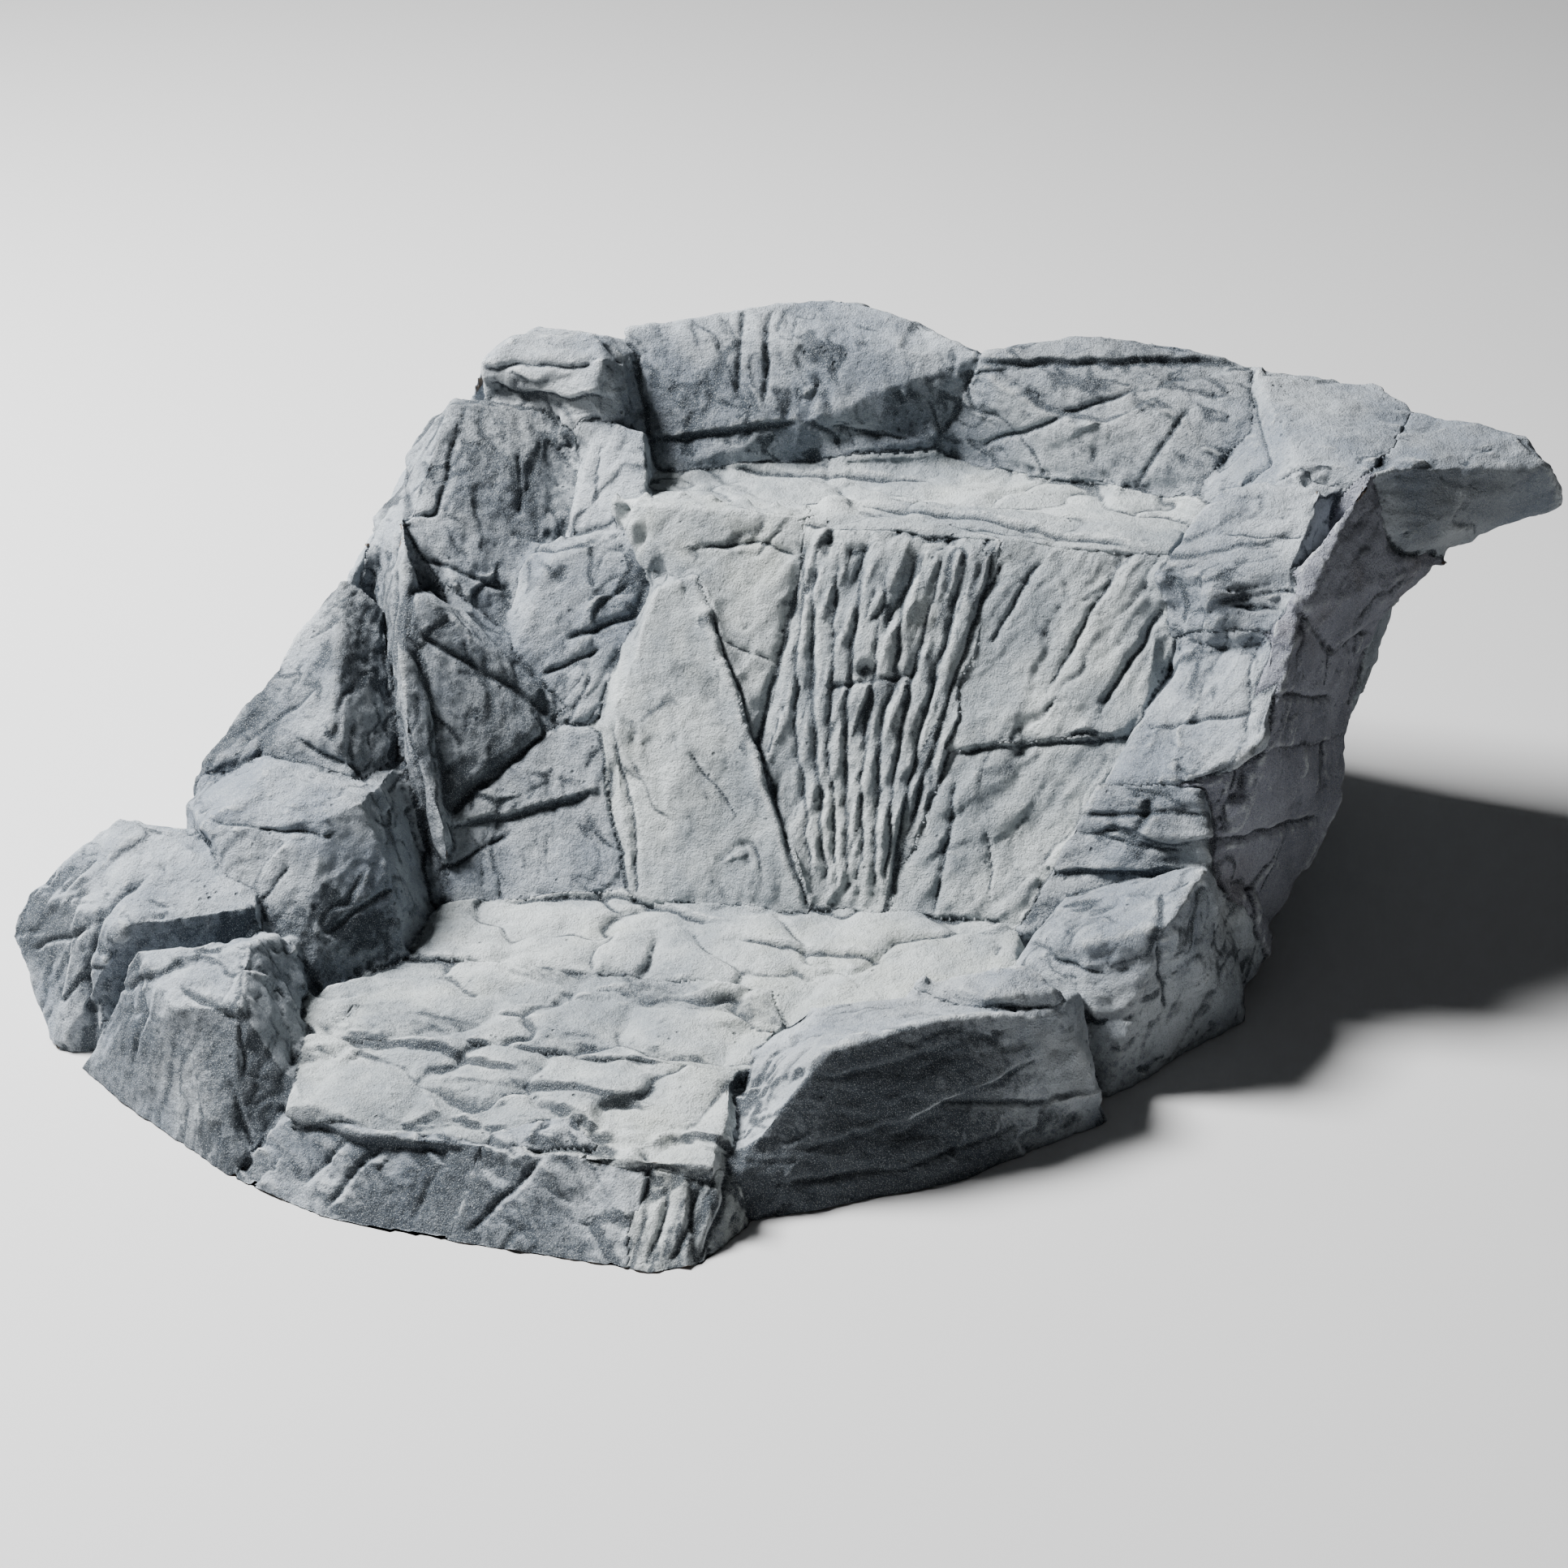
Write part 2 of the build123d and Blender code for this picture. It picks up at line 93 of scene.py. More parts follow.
# ---- the hose fitting: the middle of its gasket, on the outer face of the rear wall -------------------
gasket_low, gasket_high = (np.array(corner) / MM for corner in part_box("inlet_gasket"))
FITTING_AT = np.round([(gasket_low[0] + gasket_high[0]) / 2, gasket_low[1],
                       (gasket_low[2] + gasket_high[2]) / 2])
FITTING_HOLE = 12.0       # radius of the hole in the skin, and how far in from the outer face it is cut
FITTING_DEPTH = 20.0
FLAT_RING = (28, 42)      # the wall is flat within the first radius, and rough from the second
FLAT_DEPTH = (12, 24)     # the same, measured in from its outer face

# ---- grain of each rock -------------------------------------------------------------------------------
# The way its layers run, how drawn out they are, the size of its blocks, and their depth, mm.
FALL_LINE = (-0.10, -0.62, -0.78)
LEFT_FALL = (0.35, -0.55, -0.75)
RIGHT_FALL = (-0.45, -0.45, -0.75)
GRAIN = {
    "outlet_lip": ((0.1, -0.8, -0.6), 3.0, 26, 5.0),
    "apron_centre": ((0.8, -0.4, -0.3), 2.2, 34, 7.0),
    "apron_left": ((0.8, -0.4, -0.3), 2.0, 38, 7.0),
    "basin_floor_front": ((1, 0.12, 0), 1.35, 66, 5.0),
    "basin_floor_middle": ((1, 0.15, 0), 1.3, 70, 5.0),
    "basin_floor_back": ((1, 0.2, 0), 1.35, 72, 5.0),
    "left_wedge_slab": (LEFT_FALL, 1.8, 55, 3.0),
    "left_top_block": (FALL_LINE, 1.6, 50, 3.0),
    "left_upper_slab": ((-0.5, -0.5, -0.7), 1.8, 55, 3.5),
    "left_lower_slab": (LEFT_FALL, 1.4, 60, 3.0),
    "cascade_pillar": (LEFT_FALL, 2.2, 55, 3.5),
    "cascade_left_slab": ((-0.5, -0.5, -0.7), 2.0, 60, 3.0),
    "cascade_ribs": (FALL_LINE, 7.0, 14, 6.0),
    "cascade_right_slab": (RIGHT_FALL, 3.0, 38, 4.0),
    "cascade_right_foot": (RIGHT_FALL, 2.6, 42, 4.0),
    "crest_ledge": ((1, 0.2, 0), 1.6, 70, 3.0),
    "upper_basin_floor": ((1, 0.2, 0), 1.7, 85, 3.0),
    "right_flank_upper": ((0.3, 0.5, 0.8), 1.8, 55, 4.0),
    "right_flank_lower": ((0.3, 0.5, 0.8), 1.8, 55, 4.0),
    "right_front_boulder": ((0.8, 0.6, -0.1), 2.2, 60, 5.0),
    "right_rear_boulder": ((0.7, 0.6, 0.3), 2.2, 55, 4.5),
    "right_foot_block": ((0.9, 0.3, 0), 2.4, 42, 4.5),
    "right_ridge_lower": ((0.3, 0.5, 0.8), 2.0, 42, 4.0),
    "right_ridge_upper": ((0.8, 0.4, 0.2), 2.2, 42, 4.0),
    "right_flank_crown": ((0.5, 0.7, 0.5), 2.0, 50, 4.0),
    "right_horn": ((0.8, 0.5, -0.1), 2.0, 60, 4.0),
    "back_right_wing": ((0.7, 0.5, -0.3), 2.0, 60, 4.0),
    "back_right_block": ((0.8, 0.2, -0.4), 2.0, 62, 4.5),
    "back_centre_block": ((0.5, -0.2, -0.8), 1.8, 70, 4.5),
    "back_left_block": ((0.9, 0.2, 0.2), 1.8, 48, 4.0),
    "left_shoulder_rock": ((0.1, -0.5, -0.8), 1.6, 52, 4.0),
    "left_ridge_rock": ((0.5, -0.4, -0.75), 2.4, 46, 4.0),
    "left_outer_rock": ((-0.3, -0.6, -0.7), 1.6, 55, 4.5),
}
PLAIN_GRAIN = ((0.1, 0.1, 0.98), 1.5, 70, 4.0)
# the floors are domed flagstones: how high they are domed, mm
DOMED = {"basin_floor_front": 7.5, "basin_floor_middle": 7.5, "basin_floor_back": 7.0,
         "upper_basin_floor": 9.0, "crest_ledge": 5.0}
WATER_WORN = ("crest_ledge", "upper_basin_floor", "basin_floor_back")

# ---- marks carved on the rocks ------------------------------------------------------------------------
# What each kind of mark is: what it does, its width and its depth or height, mm.
MARK_KINDS = {
    "hairline": ("crack", 3, 4), "crack": ("crack", 4, 5.5), "cleft": ("crack", 5.5, 8),
    "ledge": ("step", 5, 5.5), "dyke": ("ridge", 9, 9), "scoop": ("dent", 27, 9), "hollow": ("dent", 38, 7),
    "pit": ("dent", 7, 16), "knob": ("block", 14, 5),
}
# Each mark's kind, and the places that it runs through, as shares of its rock's box: across from the left,
# and up from the bottom. On a floor the second share is back from the front.
MARKS = {
    "left_front_boulder": [
        ("scoop", [(0.6, 0.6)]), ("crack", [(0.45, 0.85), (0.75, 0.8), (0.8, 0.5)]),
        ("crack", [(0.75, 0.5), (0.9, 0.1)]), ("hairline", [(0.2, 0.85), (0.35, 0.6), (0.3, 0.3)])],
    "left_outer_boulder": [
        ("cleft", [(0.55, 0.9), (0.4, 0.5), (0.45, 0.15)]), ("crack", [(0.1, 0.4), (0.4, 0.65)]),
        ("hollow", [(0.5, 0.35)]), ("hairline", [(0.2, 0.7), (0.3, 0.85)])],
    "left_inner_boulder": [
        ("crack", [(0.25, 0.85), (0.65, 0.85)]), ("hairline", [(0.45, 0.6), (0.55, 0.75)]),
        ("crack", [(0.7, 0.5), (0.85, 0.6)]), ("hairline", [(0.75, 0.25), (0.9, 0.35)])],
    "left_outer_rock": [("crack", [(0.3, 0.65), (0.6, 0.8)]), ("crack", [(0.6, 0.7), (0.9, 0.5)])],
    "left_ridge_rock": [
        ("crack", [(0.4, 0.9), (0.6, 0.65)]), ("crack", [(0.55, 0.7), (0.75, 0.45), (0.85, 0.2)])],
    "left_shoulder_rock": [
        ("crack", [(0.35, 0.9), (0.4, 0.6), (0.25, 0.6)]), ("hairline", [(0.65, 0.8), (0.75, 0.55)]),
        ("crack", [(0.3, 0.35), (0.8, 0.25)])],
    "left_wedge_slab": [
        ("cleft", [(0.1, 0.85), (0.55, 0.6), (0.95, 0.35)]), ("crack", [(0.9, 0.3), (0.5, 0.05)]),
        ("hairline", [(0.2, 0.5), (0.45, 0.35)])],
    "left_top_block": [("crack", [(0.2, 0.4), (0.8, 0.55)]), ("hairline", [(0.4, 0.9), (0.5, 0.65)])],
    "left_upper_slab": [
        ("crack", [(0.2, 0.3), (0.45, 0.45)]), ("cleft", [(0.3, 0.5), (0.55, 0.6), (0.85, 0.8)]),
        ("hairline", [(0.6, 0.9), (0.4, 0.65)])],
    "left_lower_slab": [
        ("ledge", [(0.1, 0.55), (0.4, 0.6), (0.65, 0.7)]), ("crack", [(0.1, 0.3), (0.35, 0.5)]),
        ("hairline", [(0.7, 0.5), (0.9, 0.45)])],
    "cascade_pillar": [
        ("dyke", [(0.3, 1.0), (0.6, 0.6), (0.95, 0.2)]), ("cleft", [(0.35, 1.0), (0.65, 0.6), (1.0, 0.2)]),
        ("crack", [(0.1, 0.6), (0.25, 0.4), (0.3, 0.1)]), ("hairline", [(0.4, 0.55), (0.6, 0.4)])],
    "cascade_left_slab": [
        ("crack", [(0.4, 0.85), (0.7, 0.9), (0.95, 0.85)]), ("hairline", [(0.5, 0.5), (0.85, 0.45)]),
        ("cleft", [(0.95, 0.8), (0.9, 0.45), (0.85, 0.15)])],
    "cascade_ribs": [("pit", [(0.5, 0.65)]), ("crack", [(0.35, 0.6), (0.7, 0.65)])],
    "cascade_right_slab": [
        ("crack", [(0.35, 0.95), (0.2, 0.6)]), ("crack", [(0.7, 0.95), (0.5, 0.4)]),
        ("cleft", [(0.95, 0.8), (0.75, 0.35)]), ("ledge", [(0.1, 0.1), (0.5, 0.15), (0.9, 0.15)])],
    "cascade_right_foot": [
        ("hollow", [(0.6, 0.6)]), ("crack", [(0.2, 0.8), (0.25, 0.15)]),
        ("hairline", [(0.4, 0.6), (0.5, 0.3)])],
    "crest_ledge": [("ledge", [(0.1, 0.5), (0.5, 0.55), (0.9, 0.5)]), ("knob", [(0.05, 0.4)])],
    "upper_basin_floor": [("ledge", [(0.1, 0.55), (0.45, 0.6)]), ("ledge", [(0.4, 0.4), (0.9, 0.45)])],
    "back_left_block": [
        ("crack", [(0.1, 0.75), (0.85, 0.85)]), ("ledge", [(0.1, 0.6), (0.8, 0.65)]),
        ("hairline", [(0.45, 0.6), (0.45, 0.25)])],
    "back_centre_block": [
        ("crack", [(0.3, 0.95), (0.35, 0.6)]), ("crack", [(0.37, 0.95), (0.42, 0.6)]),
        ("ledge", [(0.15, 0.4), (0.5, 0.5)]), ("hairline", [(0.6, 0.45), (0.8, 0.4)])],
    "back_right_block": [
        ("crack", [(0.15, 0.35), (0.4, 0.6), (0.6, 0.8)]), ("crack", [(0.65, 0.3), (0.75, 0.7)]),
        ("ledge", [(0.1, 0.85), (0.5, 0.9), (0.85, 0.9)])],
    "back_right_wing": [("crack", [(0.1, 0.85), (0.35, 0.6), (0.2, 0.3)])],
    "right_ridge_upper": [
        ("hairline", [(0.3, 0.7), (0.85, 0.75)]), ("crack", [(0.2, 0.15), (0.85, 0.3)])],
    "right_ridge_lower": [("crack", [(0.2, 0.5), (0.8, 0.7)]), ("hairline", [(0.7, 0.9), (0.9, 0.4)])],
    "right_foot_block": [
        ("crack", [(0.2, 0.85), (0.9, 0.9)]), ("ledge", [(0.1, 0.6), (0.85, 0.65)]),
        ("hairline", [(0.2, 0.75), (0.8, 0.75)])],
    "right_flank_upper": [("crack", [(0.2, 0.7), (0.8, 0.4)])],
    "right_flank_lower": [("cleft", [(0.3, 0.7), (0.9, 0.5)]), ("crack", [(0.4, 0.3), (0.7, 0.5)])],
    "right_front_boulder": [
        ("ledge", [(0.2, 0.7), (0.45, 0.8), (0.6, 0.85)]),
        ("ledge", [(0.3, 0.4), (0.55, 0.45), (0.8, 0.6)]),
        ("cleft", [(0.6, 0.5), (0.85, 0.3)]), ("crack", [(0.25, 0.2), (0.5, 0.15), (0.8, 0.2)])],
    "right_rear_boulder": [
        ("crack", [(0.15, 0.6), (0.5, 0.65)]), ("cleft", [(0.7, 0.85), (0.75, 0.4)]),
        ("hairline", [(0.2, 0.35), (0.5, 0.4)])],
    "apron_left": [
        ("ledge", [(0.1, 0.8), (0.5, 0.85), (0.9, 0.9)]), ("crack", [(0.45, 0.1), (0.6, 0.8)]),
        ("crack", [(0.3, 0.2), (0.45, 0.8)]), ("hairline", [(0.8, 0.1), (0.85, 0.7)])],
    "apron_centre": [("scoop", [(0.7, 0.5)]), ("crack", [(0.1, 0.1), (0.4, 0.8)])],
}

# ---- painted shade: the low front faces and the rocks on the shaded side ------------------------------
SHADED_WAY = (0.15, -0.97, 0.2)    # the way that the low front faces with painted shade look
FRONT_SHADE_TOP = 150.0                   # how high the painted shade reaches
FRONT_SHADE_BACK = -150.0                 # and how far back
# how dark the painted shade on the low front faces is
FRONT_SHADE = 0.85
# rocks on the shaded side that are given painted shade, darker than the rest, and by how much
SHADED_ROCKS = {
    "left_ridge_rock": 0.50, "left_shoulder_rock": 0.48, "left_wedge_slab": 0.46, "left_outer_rock": 0.46,
    "left_upper_slab": 0.34, "left_lower_slab": 0.32, "left_inner_boulder": 0.14, "left_top_block": 0.14,
    "back_centre_block": 0.40, "back_right_block": 0.38, "back_left_block": 0.10,
    "right_rear_boulder": 0.32, "right_foot_block": 0.40, "right_ridge_upper": 0.30,
    "right_ridge_lower": 0.28, "right_front_boulder": 0.14, "left_front_boulder": 0.12,
    "cascade_pillar": 0.08, "cascade_ribs": 0.10,
}

# ---- rows of marks ------------------------------------------------------------------------------------
RAISED_ABOVE = (0, 0.29, 0.96)      # the side of a ledge that stands proud, on a wall
RAISED_BEHIND = (0, 0.98, 0.2)      # and on a floor
RIB_GROOVES = 9             # upright grooves between the ribs of the fall
LIP_GROOVES = 3             # grooves down the outlet lip
FLOOR_LEDGES = {"basin_floor_front": 1, "basin_floor_back": 1}
LOW_BOX = 45.0              # a rock lower than this is a floor, and is marked from above


def repeated_marks():
    """The marks that come in rows: grooves of the fall and the lip, and ledges of the floor stones."""
    rows = {"cascade_ribs": [], "outlet_lip": []}
    for groove in range(RIB_GROOVES):
        share = (groove + 0.5) / RIB_GROOVES
        down = [(share, 0.95), (0.2 + 0.7 * share, 0.5), (0.45 + 0.45 * share, 0.08)]
        rows["cascade_ribs"].append(("cleft" if groove % 2 else "crack", down))
    for groove in range(LIP_GROOVES):
        share = (groove + 1) / (LIP_GROOVES + 1)
        rows["outlet_lip"].append(("crack", [(share, 0.9), (share + 0.05, 0.5), (share, 0.1)]))
    for floor, count in FLOOR_LEDGES.items():
        rows[floor] = []
        for ledge in range(count):
            back = (ledge + 0.6) / count
            left = 0.08 + 0.12 * (ledge % 2)
            rows[floor].append(("ledge", [(left, back), (left + 0.2, back + 0.05), (left + 0.4, back)]))
            rows[floor].append(("ledge", [(left + 0.45, back - 0.08), (left + 0.7, back - 0.04)]))
    return rows


# ---- repeatable noise in space, on arrays of points ---------------------------------------------------
def lattice(cell, salt):
    """A repeatable random number, 0 to 1, for each whole-number cell."""
    mixed = cell.astype(np.int64)
    number = mixed[:, 0] * 73856093 ^ mixed[:, 1] * 19349663 ^ mixed[:, 2] * 83492791
    number = number ^ (salt + SEED) * 2654435761
    number = (number ^ (number >> 13)) & 0x7FFFFFFF
    number = (number * 1274126177) & 0x7FFFFFFF
    number = (number ^ (number >> 16)) & 0x7FFFFFFF
    number = (number * 668265263) & 0x7FFFFFFF
    return ((number ^ (number >> 15)) & 0xFFFFF) / 0xFFFFF


def noise(points, size, salt=0):
    """Smooth noise, -1 to 1, whose lumps are about `size` across. Each salt gives its own pattern."""
    scaled = points / size + salt * 17.31
    cell = np.floor(scaled)
    part = scaled - cell
    part = part * part * part * (part * (part * 6 - 15) + 10)
    total = np.zeros(len(points))
    for dx in (0, 1):
        for dy in (0, 1):
            for dz in (0, 1):
                weight = ((part[:, 0] if dx else 1 - part[:, 0]) * (part[:, 1] if dy else 1 - part[:, 1])
                          * (part[:, 2] if dz else 1 - part[:, 2]))
                total += weight * lattice(cell + (dx, dy, dz), salt)
    return total * 2 - 1


def layered(points, size, octaves, salt=0):
    """Several octaves of noise, -1 to 1 or a little over."""
    total = np.zeros(len(points))
    for octave in range(octaves):
        total += noise(points, size / 2 ** octave, salt + octave) / 2 ** octave
    return total / 1.5


def blocks(points, salt=0):
    """Voronoi blocks of size 1, for each point.

    Gives the way to the joint, the block's number, its neighbour's number, and the way from its middle.
    """
    cell = np.floor(points)
    near = np.full(len(points), 9.0)
    second = np.full(len(points), 9.0)
    middle = np.zeros_like(points)
    number = np.zeros(len(points))
    beside = np.zeros(len(points))
    for dx in (-1, 0, 1):
        for dy in (-1, 0, 1):
            for dz in (-1, 0, 1):
                spot = cell + (dx, dy, dz)
                own = lattice(spot, salt + 3)
                centre = spot + np.stack([lattice(spot, salt + axis) for axis in range(3)], 1)
                away = np.linalg.norm(points - centre, axis=1)
                closer = away < near
                runner = ~closer & (away < second)
                beside = np.where(closer, number, np.where(runner, own, beside))
                second = np.where(closer, near, np.minimum(second, away))
                near = np.where(closer, away, near)
                middle[closer] = (points - centre)[closer]
                number = np.where(closer, own, number)
    return (second - near) / 2, number, beside, middle


def ramp(value, low, high):
    """0 below low, 1 above high, smooth between."""
    share = np.clip((value - low) / (high - low), 0, 1)
    return share * share * (3 - 2 * share)


# ---- hulls and the one skin over them -----------------------------------------------------------------
def hull_of(node):
    """The convex hull of a CAD rock, as corners and outward planes, in mm."""
    work = bmesh.new()
    work.from_mesh(frame["nodes"][node].data)
    bmesh.ops.remove_doubles(work, verts=work.verts, dist=0.0002)
    made = bmesh.ops.convex_hull(work, input=work.verts)
    kept = [f for f in made["geom"] if isinstance(f, bmesh.types.BMFace)]
    corners = sorted({v for f in kept for v in f.verts}, key=lambda v: v.index)
    spots = np.array([v.co for v in corners]) / MM
    middle = spots.mean(0)
    planes = []
    for face in kept:
        if face.calc_area() > 1e-7:
            normal = np.array(face.normal)
            level = -(normal @ np.array(face.verts[0].co)) / MM
            planes.append([*normal, level] if normal @ middle + level < 0 else [*-normal, -level])
    work.free()
    return spots, np.array(planes)


def grown(cells):
    """Cells with their six neighbours added."""
    wider = cells.copy()
    wider[1:] |= cells[:-1]
    wider[:-1] |= cells[1:]
    wider[:, 1:] |= cells[:, :-1]
    wider[:, :-1] |= cells[:, 1:]
    wider[:, :, 1:] |= cells[:, :, :-1]
    wider[:, :, :-1] |= cells[:, :, 1:]
    return wider


def core_of(hulls):
    """A blocky mesh of everything that the rocks enclose, from below the ground up to their inner sides."""
    low = np.array([spots.min(0) for spots, planes in hulls]).min(0) - 4 * CORE_STEP
    high = np.array([spots.max(0) for spots, planes in hulls]).max(0) + 4 * CORE_STEP
    low[2] = -BELOW
    axes = [np.arange(low[k], high[k], CORE_STEP) for k in range(3)]
    depth = np.full([len(axis) for axis in axes], 99.0)
    for spots, planes in hulls:
        window = tuple(slice(*np.searchsorted(axes[k], (spots[:, k].min() - 12, spots[:, k].max() + 12)))
                       for k in range(3))
        x, y, z = np.meshgrid(*(axes[k][window[k]] for k in range(3)), indexing="ij")
        deepest = np.full(x.shape, -99.0)
        for plane in planes:
            np.maximum(deepest, plane[0] * x + plane[1] * y + plane[2] * z + plane[3], out=deepest)
        np.minimum(depth[window], deepest, out=depth[window])
    solid = depth < CORE_GAP
    above = np.maximum.accumulate(solid[:, :, ::-1], axis=2)[:, :, ::-1]
    sides = np.zeros(solid.shape, int)
    for axis in (0, 1):
        sides += np.maximum.accumulate(solid, axis=axis)
        sides += np.flip(np.maximum.accumulate(np.flip(solid, axis), axis=axis), axis)
    core = grown(~solid & above & (sides >= 3))
    ground_level = np.searchsorted(axes[2], 0)
    core[:, :, :ground_level] = core[:, :, ground_level][:, :, None]
    core[:, :, 0] = False

    size = np.array(core.shape) + 1
    faces = []
    for axis in range(3):
        ahead = np.moveaxis(core, axis, 0)
        for wall, flip in ((ahead[:-1] & ~ahead[1:], False), (~ahead[:-1] & ahead[1:], True)):
            cell = np.moveaxis(np.array(np.nonzero(wall)), 0, 1)
            corner = np.zeros((len(cell), 4, 3), int)
            for number, (across, along) in enumerate(((0, 0), (1, 0), (1, 1), (0, 1))):
                corner[:, number] = cell + (1, across, along)
            corner = corner[..., [[0, 1, 2], [1, 0, 2], [1, 2, 0]][axis]]
            swap = flip != (axis == 1)
            faces.append(corner[:, ::-1] if swap else corner)
    corners = np.vstack(faces)
    keys = (corners[..., 0] * size[1] + corners[..., 1]) * size[2] + corners[..., 2]
    used, numbered = np.unique(keys, return_inverse=True)
    spot = np.stack([used // (size[1] * size[2]), used // size[2] % size[1], used % size[2]], 1)
    return low + (spot - 0.5) * CORE_STEP, numbered.reshape(-1, 4)


def skin_over(hulls):
    """Even quads over the union of the rocks and the core between them, in mm."""
    work = bmesh.new()
    for spots, planes in hulls:
        corners = np.vstack([spots, spots[spots[:, 2] < 2] - (0, 0, BELOW)])
        made = bmesh.ops.convex_hull(work, input=[work.verts.new(spot * MM) for spot in corners])
        left_over = made["geom_interior"] + made["geom_unused"]
        spare = {v for v in left_over if isinstance(v, bmesh.types.BMVert)}
        bmesh.ops.delete(work, geom=list(spare), context="VERTS")
    bmesh.ops.recalc_face_normals(work, faces=work.faces)
    core_points, core_quads = core_of(hulls)
    corners = [work.verts.new(spot * MM) for spot in core_points]
    for quad in core_quads.tolist():
        work.faces.new([corners[k] for k in quad])
    mesh = bpy.data.meshes.new("union")
    work.to_mesh(mesh)
    work.free()
    union = bpy.data.objects.new("union", mesh)
    bpy.context.scene.collection.objects.link(union)
    remesh = union.modifiers.new("skin", "REMESH")
    remesh.mode = "VOXEL"
    remesh.voxel_size = VOXEL * MM
    made = union.evaluated_get(bpy.context.evaluated_depsgraph_get()).to_mesh()
    spots = np.empty(len(made.vertices) * 3, np.float32)
    made.vertices.foreach_get("co", spots)
    corners = np.empty(len(made.loops), np.int32)
    made.loops.foreach_get("vertex_index", corners)
    bpy.data.objects.remove(union)
    bpy.data.meshes.remove(mesh)
    return spots.reshape(-1, 3).astype(float) / MM, corners.reshape(-1, 4)


def body_numbers(quads, count):
    """A number for each point, the same for all the points that are joined to it."""
    edges = edges_of(quads)
    label = np.arange(count)
    while True:
        lower = np.minimum(label[edges[:, 0]], label[edges[:, 1]])
        joined = label.copy()
        np.minimum.at(joined, edges[:, 0], lower)
        np.minimum.at(joined, edges[:, 1], lower)
        np.minimum.at(joined, label[edges[:, 0]], lower)
        np.minimum.at(joined, label[edges[:, 1]], lower)
        joined = joined[joined]
        if (joined == label).all():
            return label
        label = joined


def edges_of(quads):
    """Each edge of the quads once."""
    pairs = np.vstack([quads[:, [k, (k + 1) % 4]] for k in range(4)])
    return np.unique(np.sort(pairs, axis=1), axis=0)


def keep_faces(points, quads, keep):
    """The points and quads that are left when only some quads are kept."""
    quads = quads[keep]
    used, renumbered = np.unique(quads, return_inverse=True)
    return points[used], renumbered.reshape(quads.shape)


def averaged(points, edges, rounds, share=0.5):
    """Points moved towards the mean of their neighbours."""
    count = np.bincount(edges.ravel(), minlength=len(points))[:, None]
    for _ in range(rounds):
        total = np.zeros_like(points)
        for axis in range(points.shape[1]):
            total[:, axis] = (np.bincount(edges[:, 0], points[edges[:, 1], axis], len(points))
                              + np.bincount(edges[:, 1], points[edges[:, 0], axis], len(points)))
        points = points + (total / np.maximum(count, 1) - points) * share
    return points


def vertex_normals(points, quads):
    """Unit normals, weighted by face area."""
    across = np.cross(points[quads[:, 2]] - points[quads[:, 0]], points[quads[:, 3]] - points[quads[:, 1]])
    total = np.zeros_like(points)
    for corner in range(4):
        for axis in range(3):
            total[:, axis] += np.bincount(quads[:, corner], across[:, axis], len(points))
    return total / np.maximum(np.linalg.norm(total, axis=1, keepdims=True), 1e-12)


rock_names = [n for n in frame["nodes"] if not n.startswith("inlet_")]
hulls = [hull_of(name) for name in rock_names]
points, quads = skin_over(hulls)
# of the bodies that the skin is made of, only the largest, the outer one, is kept
body = body_numbers(quads, len(points))
bodies, sizes = np.unique(body, return_counts=True)
points, quads = keep_faces(points, quads, body[quads[:, 0]] == bodies[sizes.argmax()])
edges = edges_of(quads)
points = averaged(points, edges, EDGE_ROUNDS)
points, quads = keep_faces(points, quads, (points[quads, 2] > 0).any(1))
points[:, 2] = np.maximum(points[:, 2], 0)
edges = edges_of(quads)

# ---- owner: the rock that each point belongs to, and seam: how near the next rock is ------------------
wandered = points + 3.0 * np.stack([noise(points, 24, s) for s in (1, 2, 3)], 1)
depths = np.full((2, len(points)), 99.0)
owner = np.zeros(len(points), int)
next_owner = np.zeros(len(points), int)
outside = np.full(len(points), 99.0)
for index, (spots, planes) in enumerate(hulls):
    near = np.where(((points > spots.min(0) - 25) & (points < spots.max(0) + 25)).all(1))[0]
    depth = (wandered[near] @ planes[:, :3].T + planes[:, 3]).max(1)
    outside[near] = np.minimum(outside[near], (points[near] @ planes[:, :3].T + planes[:, 3]).max(1))
    first = depth < depths[0, near]
    second = ~first & (depth < depths[1, near])
    moved = near[first]
    depths[1, moved] = depths[0, moved]
    next_owner[moved] = owner[moved]
    depths[0, moved] = depth[first]
    owner[moved] = index
    depths[1, near[second]] = depth[second]
    next_owner[near[second]] = index
seam = depths[1] - depths[0]

# where the skin bridges a gap between rocks, it follows no rock and is evened out
bridge = np.clip(2.5 * averaged(ramp(outside, 0.3, 1.5)[:, None], edges, 4), 0, 1)
points = points + (averaged(points, edges, BRIDGE_ROUNDS) - points) * bridge

# the stones that the water runs over are worn round
water_worn = np.isin(owner, [rock_names.index(name) for name in WATER_WORN])
water_worn = averaged(water_worn[:, None].astype(float), edges, WATER_ROUNDS)
points = points + (averaged(points, edges, WATER_ROUNDS) - points) * water_worn
normals = vertex_normals(points, quads)

# ---- worn, layered and cracked stone ------------------------------------------------------------------
push = np.zeros(len(points))
wash_and_painted_shade = np.zeros(len(points))
bend = np.stack([noise(points, 70, s) for s in (11, 12, 13)], 1)
fine_bend = np.stack([noise(points, 22, s) for s in (14, 15, 16)], 1)


